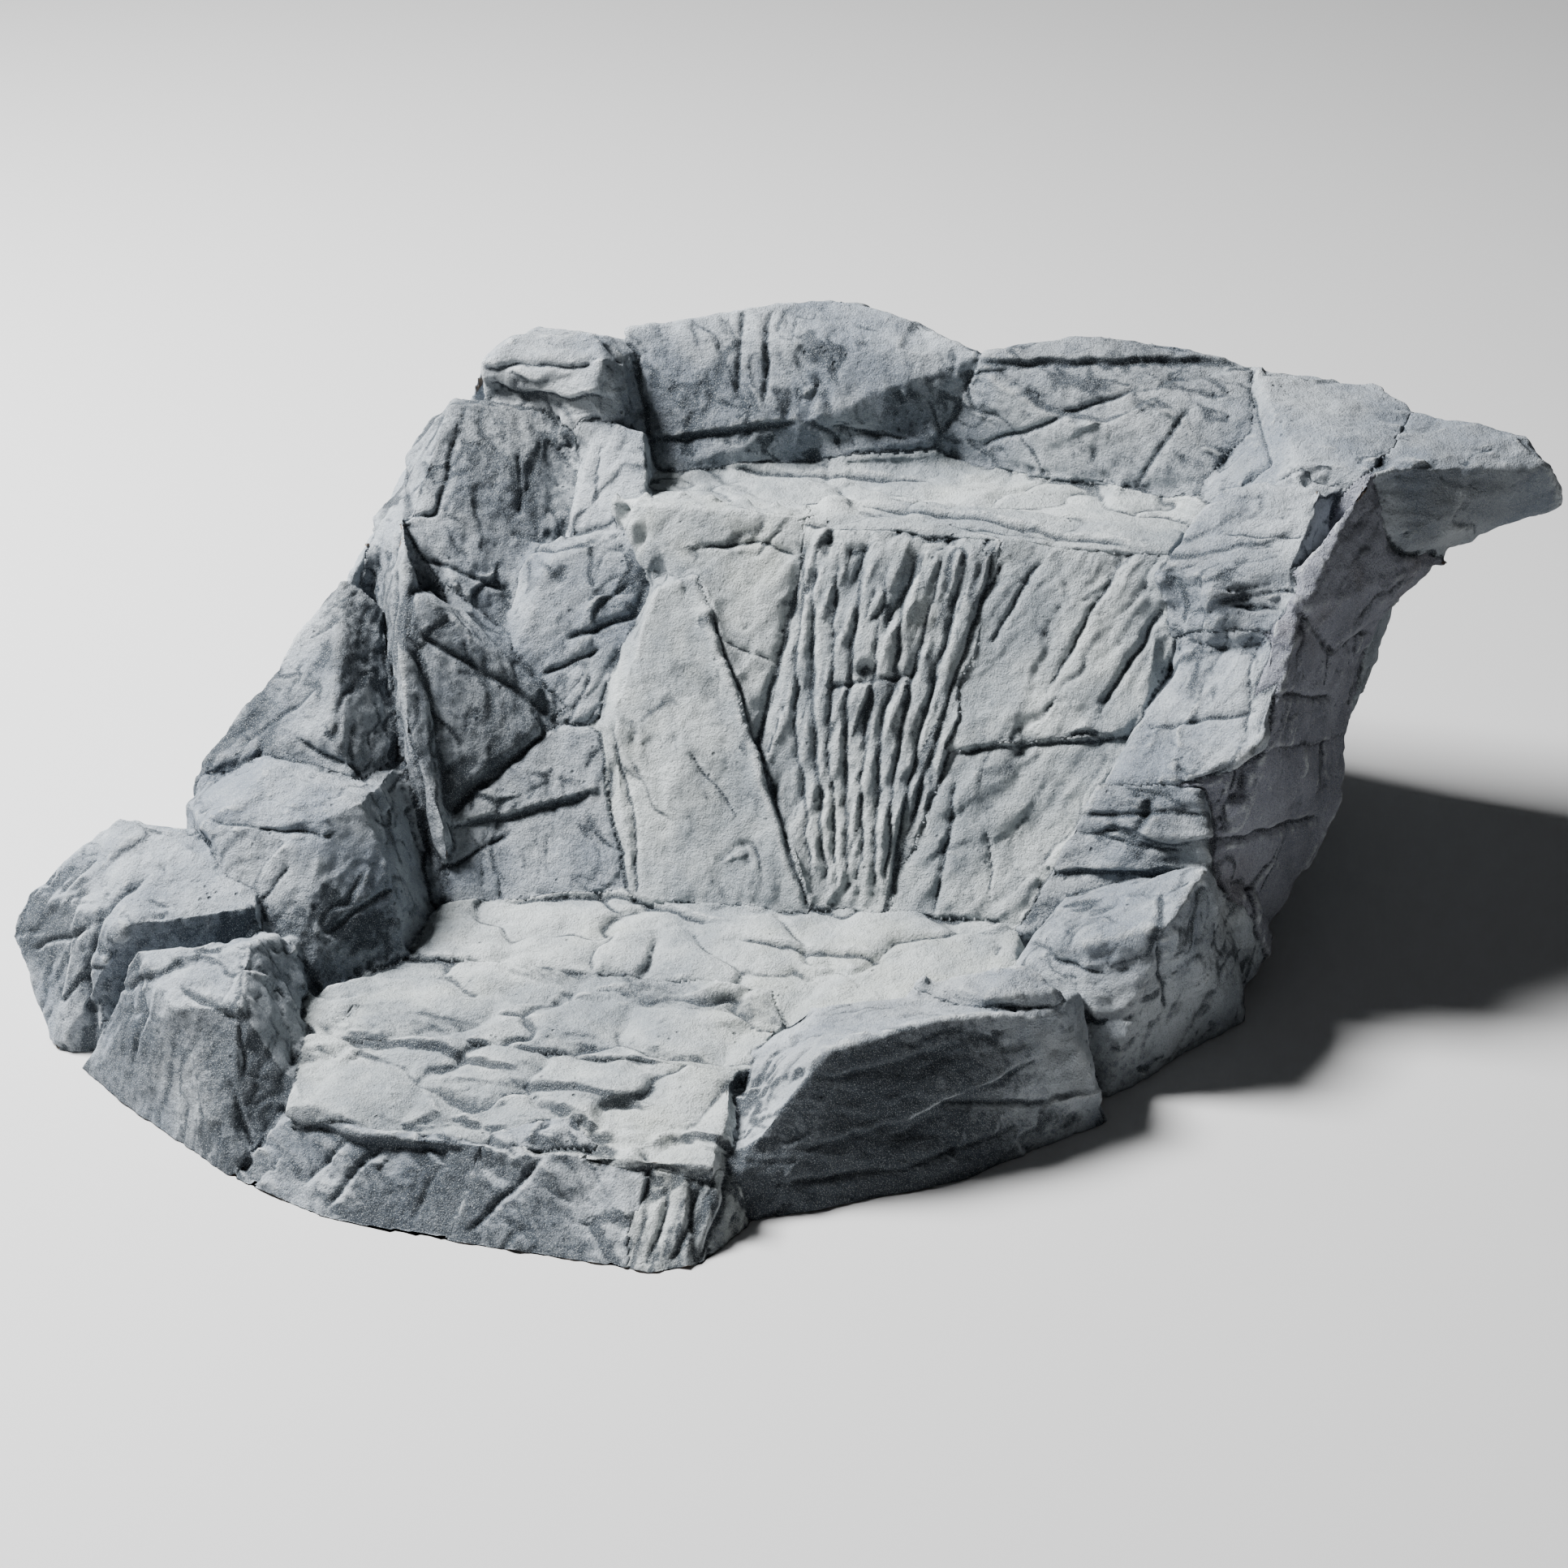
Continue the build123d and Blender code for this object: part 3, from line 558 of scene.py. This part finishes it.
def ledges(place, size, depth, cracked_share, salt, dome=0.0):
    """Height and groove of blocks: some joints are cracks with a sharp ledge, the rest are soft bends."""
    joint, number, beside, middle = blocks(place / size, salt)
    joint *= size
    chance = (number + beside) * 57.3 % 1
    cracked = chance < cracked_share
    share = ramp(joint, 0, np.where(cracked, 2.5, 0.33 * size))
    tilt = np.stack([np.sin(number * 40), np.cos(number * 57), np.sin(number * 91)], 1)
    height = 0.9 * depth * ((number + beside) / 2 + (number - beside) / 2 * share - 0.5)
    height += 1.0 * depth * (middle * tilt).sum(1) * share
    height += dome * (0.7 - np.exp(-joint / (0.17 * size)))
    groove = np.exp(-(joint / 1.7) ** 2) * cracked
    return height, groove


push += LUMP_HEIGHT * layered(points, LUMP_SIZE, 3, 20)
for index, name in enumerate(rock_names):
    way, drawn, size, depth = GRAIN.get(name, PLAIN_GRAIN)
    span = np.where(owner == index)[0]
    if not len(span):
        continue
    way = np.array(way, float) / np.linalg.norm(way)
    place = points[span] + bend[span] * 0.32 * size + fine_bend[span] * 0.12 * size
    place -= (place @ way)[:, None] * way * (1 - 1 / drawn)
    dome = DOMED.get(name, 0.0)
    height, groove = ledges(place, size, depth, 0.75 if dome else 0.40, 40 + index, dome)
    broken = ramp(noise(points[span], 40, 60), -0.5, 0.0)
    push[span] += height - 0.30 * depth * groove * broken
    wash_and_painted_shade[span] = np.maximum(wash_and_painted_shade[span], groove * broken * 0.85)
    # smaller blocks within the blocks, which are faint on the domed stones
    depth_share, cracked_share = (0.1, 0.05) if dome else (0.45, 0.30)
    height, groove = ledges(place + 5, size / 2.6, depth_share * depth, cracked_share, 140 + index)
    broken = ramp(noise(points[span], 30, 62), -0.2, 0.2)
    push[span] += height - 0.12 * depth * groove * broken
    wash_and_painted_shade[span] = np.maximum(wash_and_painted_shade[span], groove * broken * 0.55)
    # short chisel strokes along the grain
    stroke_place = points[span] + fine_bend[span] * 3
    stroke_place = stroke_place - (stroke_place @ way)[:, None] * way * STROKE_DRAWN
    stroke = noise(stroke_place, STROKE_SIZE, 300 + index)
    broken = ramp(noise(points[span], 26, 63), 0.0, 0.35)
    line = np.exp(-(stroke / 0.16) ** 2) * broken
    strength = 0.4 if dome else 1.0
    push[span] += strength * (0.8 * stroke - 1.1 * line)
    wash_and_painted_shade[span] = np.maximum(wash_and_painted_shade[span], strength * line * 0.6)
    push[span] += FINE_STROKE_HEIGHT * noise(stroke_place, FINE_STROKE_SIZE, 340 + index)
push += ROUGH_HEIGHT * layered(points, ROUGH_SIZE, 2, 30)
push += GRIT_HEIGHT * noise(points, GRIT_SIZE, 34)

# ---- seams between rocks: some are cracks, some are only worn in --------------------------------------
low_owner, high_owner = np.minimum(owner, next_owner), np.maximum(owner, next_owner)
seam_mark = lattice(np.stack([low_owner, high_owner, low_owner * 0], 1), 5)
seam_strength = (0.35 + 0.65 * seam_mark) * ramp(noise(points, 42, 70), -0.75, -0.1)
near_seam = np.clip(seam + 2.5 * noise(points, 18, 71), 0, None)
push -= SEAM_DEPTH * np.exp(-(near_seam / SEAM_WIDTH) ** 2) * seam_strength
wash_and_painted_shade = np.maximum(wash_and_painted_shade, np.exp(-(near_seam / SEAM_WASH_WIDTH) ** 2) * seam_strength)


# ---- marks carved on the rocks ------------------------------------------------------------------------
def route(corner_points, salt):
    """Points every 3 mm along a broken line, with a small wander."""
    corners = np.array(corner_points, float)
    if len(corners) == 1:
        return corners
    steps = []
    for start, end in zip(corners[:-1], corners[1:]):
        count = max(2, int(np.linalg.norm(end - start) / 3))
        share = np.linspace(0, 1, count, endpoint=False)[:, None]
        steps.append(start + (end - start) * share)
    line = np.vstack(steps + [corners[-1:]])
    wander = np.stack([noise(line, 14, salt + k) for k in (0, 1, 2)], 1) * 2.6
    return line + wander


def on_rock(name, shares):
    """The place on the visible side of a rock at each pair of shares of its box."""
    own = points[(owner == rock_names.index(name)) & ((normals[:, 1] < 0.3) | (normals[:, 2] > 0.3))]
    if not len(own):
        return []
    low, high = (np.array(corner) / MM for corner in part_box(name))
    second = 1 if high[2] - low[2] < LOW_BOX else 2
    spots = []
    for across, along in shares:
        sideways = own[:, 0] - (low[0] + across * (high[0] - low[0]))
        lengthways = own[:, second] - (low[second] + along * (high[second] - low[second]))
        front_first = 0.1 * (own[:, 1] - low[1]) if second == 2 else -own[:, 2]
        spots.append(own[(np.hypot(sideways, lengthways) + front_first).argmin()])
    return spots


marks = [(name, *mark) for table in (MARKS, repeated_marks()) for name, own_marks in table.items()
         for mark in own_marks]
for salt, (rock, mark, shares) in enumerate(marks):
    kind, width, depth = MARK_KINDS[mark]
    corner_points = on_rock(rock, shares)
    if not len(corner_points):
        continue
    if kind == "crack":
        width, depth = 0.55 * width, 0.8 * depth
    line = route(corner_points, 200 + salt)
    reach = {"step": 30, "crack": 14, "ridge": 3 * width, "dent": 2 * width, "block": 2 * width}[kind]
    near = np.where(((points > line.min(0) - reach) & (points < line.max(0) + reach)).all(1))[0]
    if not len(near):
        continue
    # the line lies on the rock: its points are moved to the nearest points of the skin, then evened out
    for step in range(len(line)):
        gap = np.linalg.norm(points[near] - line[step], axis=1)
        line[step] = points[near][gap.argmin()]
    for _ in range(4):
        line[1:-1] = (line[:-2] + 2 * line[1:-1] + line[2:]) / 4
    away = np.full(len(near), 1e9)
    closest = np.zeros(len(near), int)
    lengths = list(zip(line[:-1], line[1:])) if len(line) > 1 else [(line[0], line[0])]
    for step, (start, end) in enumerate(lengths):
        along = end - start
        place = np.clip((points[near] - start) @ along / max(along @ along, 1e-9), 0, 1)
        gap = np.linalg.norm(points[near] - start - place[:, None] * along, axis=1)
        closer = gap < away
        away = np.where(closer, gap, away)
        closest = np.where(closer, step, closest)
    share = closest / max(len(line) - 1, 1)
    taper = np.clip(np.minimum(share, 1 - share) * 6 + 0.35, 0, 1) if len(line) > 1 else 1.0
    if kind == "crack":
        groove = np.exp(-(away / width) ** 2) * taper
        hollow = np.exp(-(away / (4 * width)) ** 2) * taper
        push[near] -= depth * (0.75 * groove + 0.25 * hollow)
        wash_and_painted_shade[near] = np.maximum(wash_and_painted_shade[near], np.exp(-(away / (0.7 * width)) ** 2) * taper)
    elif kind == "ridge":
        push[near] += depth * np.exp(-(away / width) ** 2) * taper
    elif kind == "block":
        push[near] += depth * np.exp(-(away / width) ** 4)
    elif kind == "dent":
        push[near] -= depth * np.exp(-(away / width) ** 2)
        wash_and_painted_shade[near] = np.maximum(wash_and_painted_shade[near], 0.8 * np.exp(-(away / (0.6 * width)) ** 2) if width < 15 else 0)
    elif kind == "step":
        high = np.array(RAISED_BEHIND if rock in DOMED else RAISED_ABOVE)
        side = ((points[near] - line[closest]) * high).sum(1)
        raised = ramp(side, -1.5, 1.5) * np.exp(-np.clip(side, 0, None) / RAISED_FADE)
        sunk = (1 - ramp(side, -1.5, 1.5)) * np.exp(-np.clip(-side, 0, None) / SUNK_FADE)
        fade = np.exp(-(np.clip(away - np.abs(side), 0, None) / 5) ** 2) * taper
        push[near] += (0.55 * depth * raised - 0.75 * depth * sunk) * fade
        line_wash = np.exp(-((side + 1.8) / 2.2) ** 2) * fade
        wash_and_painted_shade[near] = np.maximum(wash_and_painted_shade[near], line_wash)

# ---- the skin's shape: the flat face round the hose fitting, and the ground, stay as they are ---------
fitting = np.linalg.norm(points[:, [0, 2]] - FITTING_AT[[0, 2]], axis=1)
keep_flat = ramp(fitting, *FLAT_RING) + ramp(FITTING_AT[1] - points[:, 1], *FLAT_DEPTH)
push *= np.clip(keep_flat, 0, 1)
push = averaged(np.clip(push, DEEPEST, HIGHEST)[:, None], edges, 1)[:, 0]
shaped = points + normals * push[:, None]
shaped[:, 2] = np.maximum(shaped[:, 2], 0)
# spikes are evened out
shape_normals = vertex_normals(shaped, quads)
evened = averaged(shaped, edges, 3)
spike = ramp(np.abs(((evened - shaped) * shape_normals).sum(1)), 0.9, 1.8)[:, None]
shaped = shaped + (evened - shaped) * np.clip(2 * averaged(spike, edges, 2), 0, 1)
cad_low, cad_high = np.array(CAD_BOX[0]) / MM, np.array(CAD_BOX[1]) / MM
shaped = np.clip(shaped, cad_low - BOX_SPARE, cad_high + BOX_SPARE)
shaped[:, 2] = np.maximum(shaped[:, 2], 0)

# ---- paint: dark wash in hollows, dry-brushed pale edges, painted shade -------------------------------
shape_normals = vertex_normals(shaped, quads)
close = ((averaged(shaped, edges, 3) - shaped) * shape_normals).sum(1)
wide = ((averaged(shaped, edges, 16) - shaped) * shape_normals).sum(1)
wash_and_painted_shade = np.clip(0.80 * wash_and_painted_shade + 0.30 * ramp(close, 0.15, 0.7) + 0.22 * ramp(wide, 0.6, 2.4), 0, 1)
# painted shade: the faces near the ground that look to the front are darkened, and the rocks on the shaded
# side are darkened, each by its own amount
# painted shade on the faces that look to the front, near the ground
facing = ramp(shape_normals @ np.array(SHADED_WAY) + 0.25 * noise(points, 45, 81), 0.25, 0.80)
front_shade = facing * ramp(FRONT_SHADE_TOP - shaped[:, 2], 0, 50) * ramp(FRONT_SHADE_BACK - shaped[:, 1], 0, 80)
# painted shade for whole rocks on the shaded side, with a random spread
rock_shade = np.array([SHADED_ROCKS.get(name, 0.0) for name in rock_names])[owner]
rock_shade = averaged(rock_shade[:, None], edges, 6)[:, 0] * (1 + 0.6 * noise(points, 60, 80))
# the painted shade on the low front faces and on the shaded rocks is added to the dark wash
wash_and_painted_shade = np.clip(wash_and_painted_shade + FRONT_SHADE * front_shade * (0.8 + 0.3 * noise(points, 60, 83)) + rock_shade, 0, 1)
dry = np.clip(0.40 * ramp(-close, 0.1, 0.6) + 0.45 * ramp(-wide, 0.3, 1.8), 0, 1)

# ---- materials ----------------------------------------------------------------------------------------
def srgb(red, green, blue):
    """A colour given as 0-255 screen values, as the linear colour that a shader takes."""
    parts = []
    for value in (red, green, blue):
        value = value / 255
        parts.append(value / 12.92 if value <= 0.04045 else ((value + 0.055) / 1.055) ** 2.4)
    return (*parts, 1.0)


class Tree:
    """Short ways to make and join shader nodes."""

    def __init__(self, name):
        self.material = bpy.data.materials.new(name)
        self.material.use_nodes = True
        self.nodes = self.material.node_tree.nodes
        self.nodes.clear()
        self.output = self.node("ShaderNodeOutputMaterial")
        self.shader = self.node("ShaderNodeBsdfPrincipled")
        self.join(self.shader.outputs[0], self.output.inputs[0])

    def node(self, kind, **settings):
        made = self.nodes.new(kind)
        for key, value in settings.items():
            setattr(made, key, value)
        return made

    def join(self, source, target):
        self.material.node_tree.links.new(source, target)

    def noise(self, scale, detail=3.0, rough=0.55, place=None, distort=0.0):
        made = self.node("ShaderNodeTexNoise")
        made.inputs["Scale"].default_value = scale
        made.inputs["Detail"].default_value = detail
        made.inputs["Roughness"].default_value = rough
        made.inputs["Distortion"].default_value = distort
        self.join(place or self.place, made.inputs["Vector"])
        return made.outputs["Fac"]

    def curve(self, source, low, high, to_low=0.0, to_high=1.0):
        made = self.node("ShaderNodeMapRange", interpolation_type="SMOOTHSTEP")
        for key, value in (("From Min", low), ("From Max", high), ("To Min", to_low), ("To Max", to_high)):
            made.inputs[key].default_value = value
        self.join(source, made.inputs["Value"])
        return made.outputs["Result"]

    def sum(self, operation, first, second):
        made = self.node("ShaderNodeMath", operation=operation)
        for slot, value in zip(made.inputs, (first, second)):
            if isinstance(value, (int, float)):
                slot.default_value = value
            else:
                self.join(value, slot)
        return made.outputs[0]

    def blend(self, share, first, second, mode="MIX"):
        made = self.node("ShaderNodeMix", data_type="RGBA", blend_type=mode)
        for slot, value in ((made.inputs[0], share), (made.inputs[6], first), (made.inputs[7], second)):
            if isinstance(value, (int, float, tuple)):
                slot.default_value = value
            else:
                self.join(value, slot)
        return made.outputs[2]


DARK = srgb(40, 49, 58)
PALE_EDGE = srgb(214, 219, 220)


def stone(name, base, pale, dark, tint, tint_share):
    """Cast stone: sandy and blotched, with dark wash in its cracks, painted shade from the paint attribute,
    and pale, dry-brushed edges.
    """
    tree = Tree(name)
    tree.place = tree.node("ShaderNodeTexCoord").outputs["Object"]
    paint = tree.node("ShaderNodeVertexColor", layer_name="paint")
    split = tree.node("ShaderNodeSeparateColor")
    tree.join(paint.outputs["Color"], split.inputs[0])
    washed_and_shaded, dried = split.outputs[0], split.outputs[1]

    blotch = tree.noise(9, 6, 0.62)
    patch = tree.noise(30, 5, 0.65)
    mottle = tree.noise(130, 4, 0.7)
    grain = tree.noise(620, 3, 0.75)
    speck = tree.noise(1300, 1, 0.5)

    colour = tree.blend(tree.curve(blotch, 0.36, 0.66), base, pale)
    colour = tree.blend(tree.sum("MULTIPLY", tree.curve(patch, 0.48, 0.72), 0.22), colour, dark)
    tinted = tree.sum("MULTIPLY", tree.curve(tree.noise(7, 4, 0.6), 0.50, 0.68), tint_share)
    colour = tree.blend(tinted, colour, tint)
    brushed = tree.sum("MULTIPLY", dried, tree.curve(mottle, 0.36, 0.58))
    colour = tree.blend(tree.sum("MULTIPLY", brushed, 0.80), colour, PALE_EDGE)
    # the dark wash and the painted shade darken the colour, with a mottled spread
    wash_and_shade_mask = tree.sum("ADD", washed_and_shaded, tree.sum("MULTIPLY", tree.curve(mottle, 0.40, 0.70, -0.5, 0.5), 0.30))
    colour = tree.blend(tree.sum("MULTIPLY", tree.curve(wash_and_shade_mask, 0.15, 0.85), 0.90), colour, dark)
    colour = tree.blend(tree.sum("MULTIPLY", tree.curve(grain, 0.52, 0.68), 0.42), colour, dark)
    colour = tree.blend(tree.sum("MULTIPLY", tree.curve(speck, 0.55, 0.70), 0.38), colour, PALE_EDGE)

    # pits, in patches
    pits = tree.node("ShaderNodeTexVoronoi", feature="F1")
    pits.inputs["Scale"].default_value = 110
    tree.join(tree.place, pits.inputs["Vector"])
    pit = tree.curve(pits.outputs["Distance"], 0.06, 0.24, 1.0, 0.0)
    pit = tree.sum("MULTIPLY", pit, tree.curve(tree.noise(26, 3, 0.6), 0.54, 0.68))
    colour = tree.blend(tree.sum("MULTIPLY", pit, 0.6), colour, dark)
    tree.join(colour, tree.shader.inputs["Base Color"])

    height = tree.sum("ADD", tree.sum("MULTIPLY", grain, 0.9), tree.sum("MULTIPLY", mottle, 1.5))
    height = tree.sum("ADD", height, tree.sum("MULTIPLY", patch, 2.2))
    height = tree.sum("SUBTRACT", height, tree.sum("MULTIPLY", pit, 0.9))
    bump = tree.node("ShaderNodeBump")
    bump.inputs["Strength"].default_value = 1.0
    bump.inputs["Distance"].default_value = 0.0022
    tree.join(height, bump.inputs["Height"])
    tree.join(bump.outputs["Normal"], tree.shader.inputs["Normal"])
    tree.join(tree.curve(washed_and_shaded, 0.0, 1.0, 0.90, 0.74), tree.shader.inputs["Roughness"])
    tree.shader.inputs["Specular IOR Level"].default_value = 0.22
    return tree.material


def laminate():
    """The bare glass-reinforced laminate inside the shells: brown resin with pale fibres."""
    tree = Tree("bare_laminate")
    tree.place = tree.node("ShaderNodeTexCoord").outputs["Object"]
    strands = tree.noise(90, 4, 0.7, distort=1.5)
    colour = tree.blend(tree.curve(strands, 0.35, 0.65), srgb(62, 52, 46), srgb(108, 94, 80))
    tree.join(colour, tree.shader.inputs["Base Color"])
    bump = tree.node("ShaderNodeBump")
    bump.inputs["Strength"].default_value = 0.6
    bump.inputs["Distance"].default_value = 0.001
    tree.join(strands, bump.inputs["Height"])
    tree.join(bump.outputs["Normal"], tree.shader.inputs["Normal"])
    tree.shader.inputs["Roughness"].default_value = 0.55
    return tree.material


def moulded(name, dark, light, rough):
    """Moulded plastic or rubber with a fine skin."""
    tree = Tree(name)
    tree.place = tree.node("ShaderNodeTexCoord").outputs["Object"]
    cloud = tree.noise(60, 3, 0.5)
    tree.join(tree.blend(cloud, dark, light), tree.shader.inputs["Base Color"])
    bump = tree.node("ShaderNodeBump")
    bump.inputs["Strength"].default_value = 0.25
    bump.inputs["Distance"].default_value = 0.0002
    tree.join(tree.noise(1800, 2, 0.5), bump.inputs["Height"])
    tree.join(bump.outputs["Normal"], tree.shader.inputs["Normal"])
    tree.shader.inputs["Roughness"].default_value = rough
    return tree.material


FINISH = {
    "cast_rock": stone("cast_rock", base=srgb(126, 135, 146), pale=srgb(178, 185, 191), dark=DARK,
                       tint=srgb(150, 151, 148), tint_share=0.30),
    "flow_rock": stone("flow_rock", base=srgb(142, 150, 156), pale=srgb(196, 202, 202), dark=DARK,
                       tint=srgb(184, 188, 178), tint_share=0.50),
    "flank_rock": stone("flank_rock", base=srgb(116, 119, 130), pale=srgb(146, 149, 160),
                        dark=srgb(38, 42, 52), tint=srgb(92, 80, 74), tint_share=0.45),
    "rear_rock": stone("rear_rock", base=srgb(132, 141, 151), pale=srgb(168, 176, 183), dark=DARK,
                       tint=srgb(142, 142, 140), tint_share=0.30),
    "fitting_plastic": moulded("fitting_plastic", srgb(22, 22, 24), srgb(34, 34, 36), 0.42),
    "seal_rubber": moulded("seal_rubber", srgb(20, 20, 20), srgb(38, 38, 38), 0.75),
}
BARE = laminate()
SLOT_OF = {part["node"]: part["material_slot"] for part in frame["record"]["subparts"]}


# ---- pieces: the skin is divided between the rocks, and each is given its thickness -------------------
through = np.linalg.norm((shaped[quads].mean(1) - FITTING_AT)[:, [0, 2]], axis=1) < FITTING_HOLE
through &= shaped[quads, 1].mean(1) > FITTING_AT[1] - FITTING_DEPTH
owners = owner[quads]
face_owner = np.where(owners[:, 1] == owners[:, 2], owners[:, 1], owners[:, 0])
smooth_shape = averaged(shaped, edges, INNER_ROUNDS)
inner = smooth_shape - vertex_normals(smooth_shape, quads) * SHELL
depth_inside = np.full(len(inner), 99.0)
for spots, planes in hulls:
    near = np.where(((inner > spots.min(0)) & (inner < spots.max(0))).all(1))[0]
    depth = (inner[near] @ planes[:, :3].T + planes[:, 3]).max(1)
    depth_inside[near] = np.minimum(depth_inside[near], depth)
thin = np.clip(3 * averaged(ramp(depth_inside, -3.0, 0.0)[:, None], edges, 3), 0, 1)
inner += (shaped - normals * THIN_SHELL - inner) * thin
inner[:, 2] = np.maximum(inner[:, 2], 0)

for index, name in enumerate(rock_names):
    mine = (face_owner == index) & ~through
    if not mine.any():
        continue
    used, numbered = np.unique(quads[mine], return_inverse=True)
    numbered = numbered.reshape(-1, 4)
    count = len(used)
    sides = np.vstack([numbered[:, [k, (k + 1) % 4]] for k in range(4)])
    key = np.sort(sides, axis=1)
    key = key[:, 0] * count + key[:, 1]
    _, first, repeats = np.unique(key, return_index=True, return_counts=True)
    rim = sides[first[repeats == 1]]
    walls = np.stack([rim[:, 1], rim[:, 0], rim[:, 0] + count, rim[:, 1] + count], axis=1)
    faces = np.vstack([numbered, numbered[:, ::-1] + count, walls])
    mesh = bpy.data.meshes.new("rock_" + name)
    mesh.vertices.add(2 * count)
    spots = np.vstack([shaped[used], inner[used]]) * MM
    mesh.vertices.foreach_set("co", spots.astype(np.float32).ravel())
    mesh.loops.add(faces.size)
    mesh.loops.foreach_set("vertex_index", faces.astype(np.int32).ravel())
    mesh.polygons.add(len(faces))
    mesh.polygons.foreach_set("loop_start", np.arange(0, faces.size, 4, dtype=np.int32))
    mesh.materials.append(FINISH[SLOT_OF[name]])
    mesh.materials.append(BARE)
    skin_kind = np.repeat([0, 1, 1], [len(numbered), len(numbered), len(walls)]).astype(np.int32)
    mesh.polygons.foreach_set("material_index", skin_kind)
    mesh.polygons.foreach_set("use_smooth", np.ones(len(faces), bool))
    paint = mesh.color_attributes.new("paint", "FLOAT_COLOR", "POINT")
    values = np.zeros((2 * count, 4), np.float32)
    # the first channel holds the dark wash and the painted shade, the second the pale edges
    values[:count, 0], values[:count, 1], values[:, 3] = wash_and_painted_shade[used], dry[used], 1
    paint.data.foreach_set("color", values.ravel())
    mesh.update(calc_edges=True)
    mesh.validate()
    piece = bpy.data.objects.new("rock_" + name, mesh)
    bpy.context.scene.collection.objects.link(piece)
    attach(piece, "root")
    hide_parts(name)

# the hose fitting keeps its CAD shape
for name in ("inlet_body", "inlet_gasket", "inlet_locknut"):
    part = frame["nodes"][name]
    for material_slot in part.material_slots:
        material_slot.material = FINISH[SLOT_OF[name]]

# ---- floor, light and camera --------------------------------------------------------------------------
FLOOR_REACH = 14
FLOOR_DROP = 0.0005       # the floor lies this far below the rocks
floor_mesh = bpy.data.meshes.new("floor")
floor_corners = [(FLOOR_REACH * x, FLOOR_REACH * y, 0) for x, y in ((-1, -1), (1, -1), (1, 1), (-1, 1))]
floor_mesh.from_pydata(floor_corners, [], [(0, 1, 2, 3)])
floor = bpy.data.objects.new("floor", floor_mesh)
floor.location.z = -FLOOR_DROP
bpy.context.scene.collection.objects.link(floor)
ground = Tree("floor_paper")
ground.shader.inputs["Base Color"].default_value = (0.62, 0.62, 0.62, 1)
ground.shader.inputs["Roughness"].default_value = 0.9
floor_mesh.materials.append(ground.material)

world = bpy.data.worlds.new("studio")
world.use_nodes = True
world.node_tree.nodes["Background"].inputs[0].default_value = (0.93, 0.96, 1.0, 1)
world.node_tree.nodes["Background"].inputs[1].default_value = 0.05
bpy.context.scene.world = world


def soft_light(name, towards, distance, size, power):
    """A square softbox, aimed at the middle of the cascade."""
    data = bpy.data.lights.new(name, "AREA")
    data.shape = "SQUARE"
    data.size = size
    data.energy = power
    lamp = bpy.data.objects.new(name, data)
    aim = Vector((0, 0, 0.2))
    lamp.location = aim + Vector(towards).normalized() * distance
    lamp.rotation_euler = (aim - lamp.location).to_track_quat("-Z", "Y").to_euler()
    bpy.context.scene.collection.objects.link(lamp)


soft_light("key", towards=(-0.66, -0.04, 0.75), distance=3.4, size=1.0, power=480)

TARGET = Vector((0.025, -0.040, 0.190))
AZIMUTH, ELEVATION, DISTANCE = math.radians(20), math.radians(30), 2.8
LENS, SENSOR, CLIP_END = 80, 36, 60
camera = bpy.data.objects.new("camera", bpy.data.cameras.new("camera"))
back = Vector((math.sin(AZIMUTH) * math.cos(ELEVATION), -math.cos(AZIMUTH) * math.cos(ELEVATION),
               math.sin(ELEVATION)))
camera.location = TARGET + back * DISTANCE
camera.rotation_euler = (-back).to_track_quat("-Z", "Y").to_euler()
camera.data.lens = LENS
camera.data.sensor_width = SENSOR
camera.data.clip_end = CLIP_END
bpy.context.scene.collection.objects.link(camera)
bpy.context.scene.camera = camera
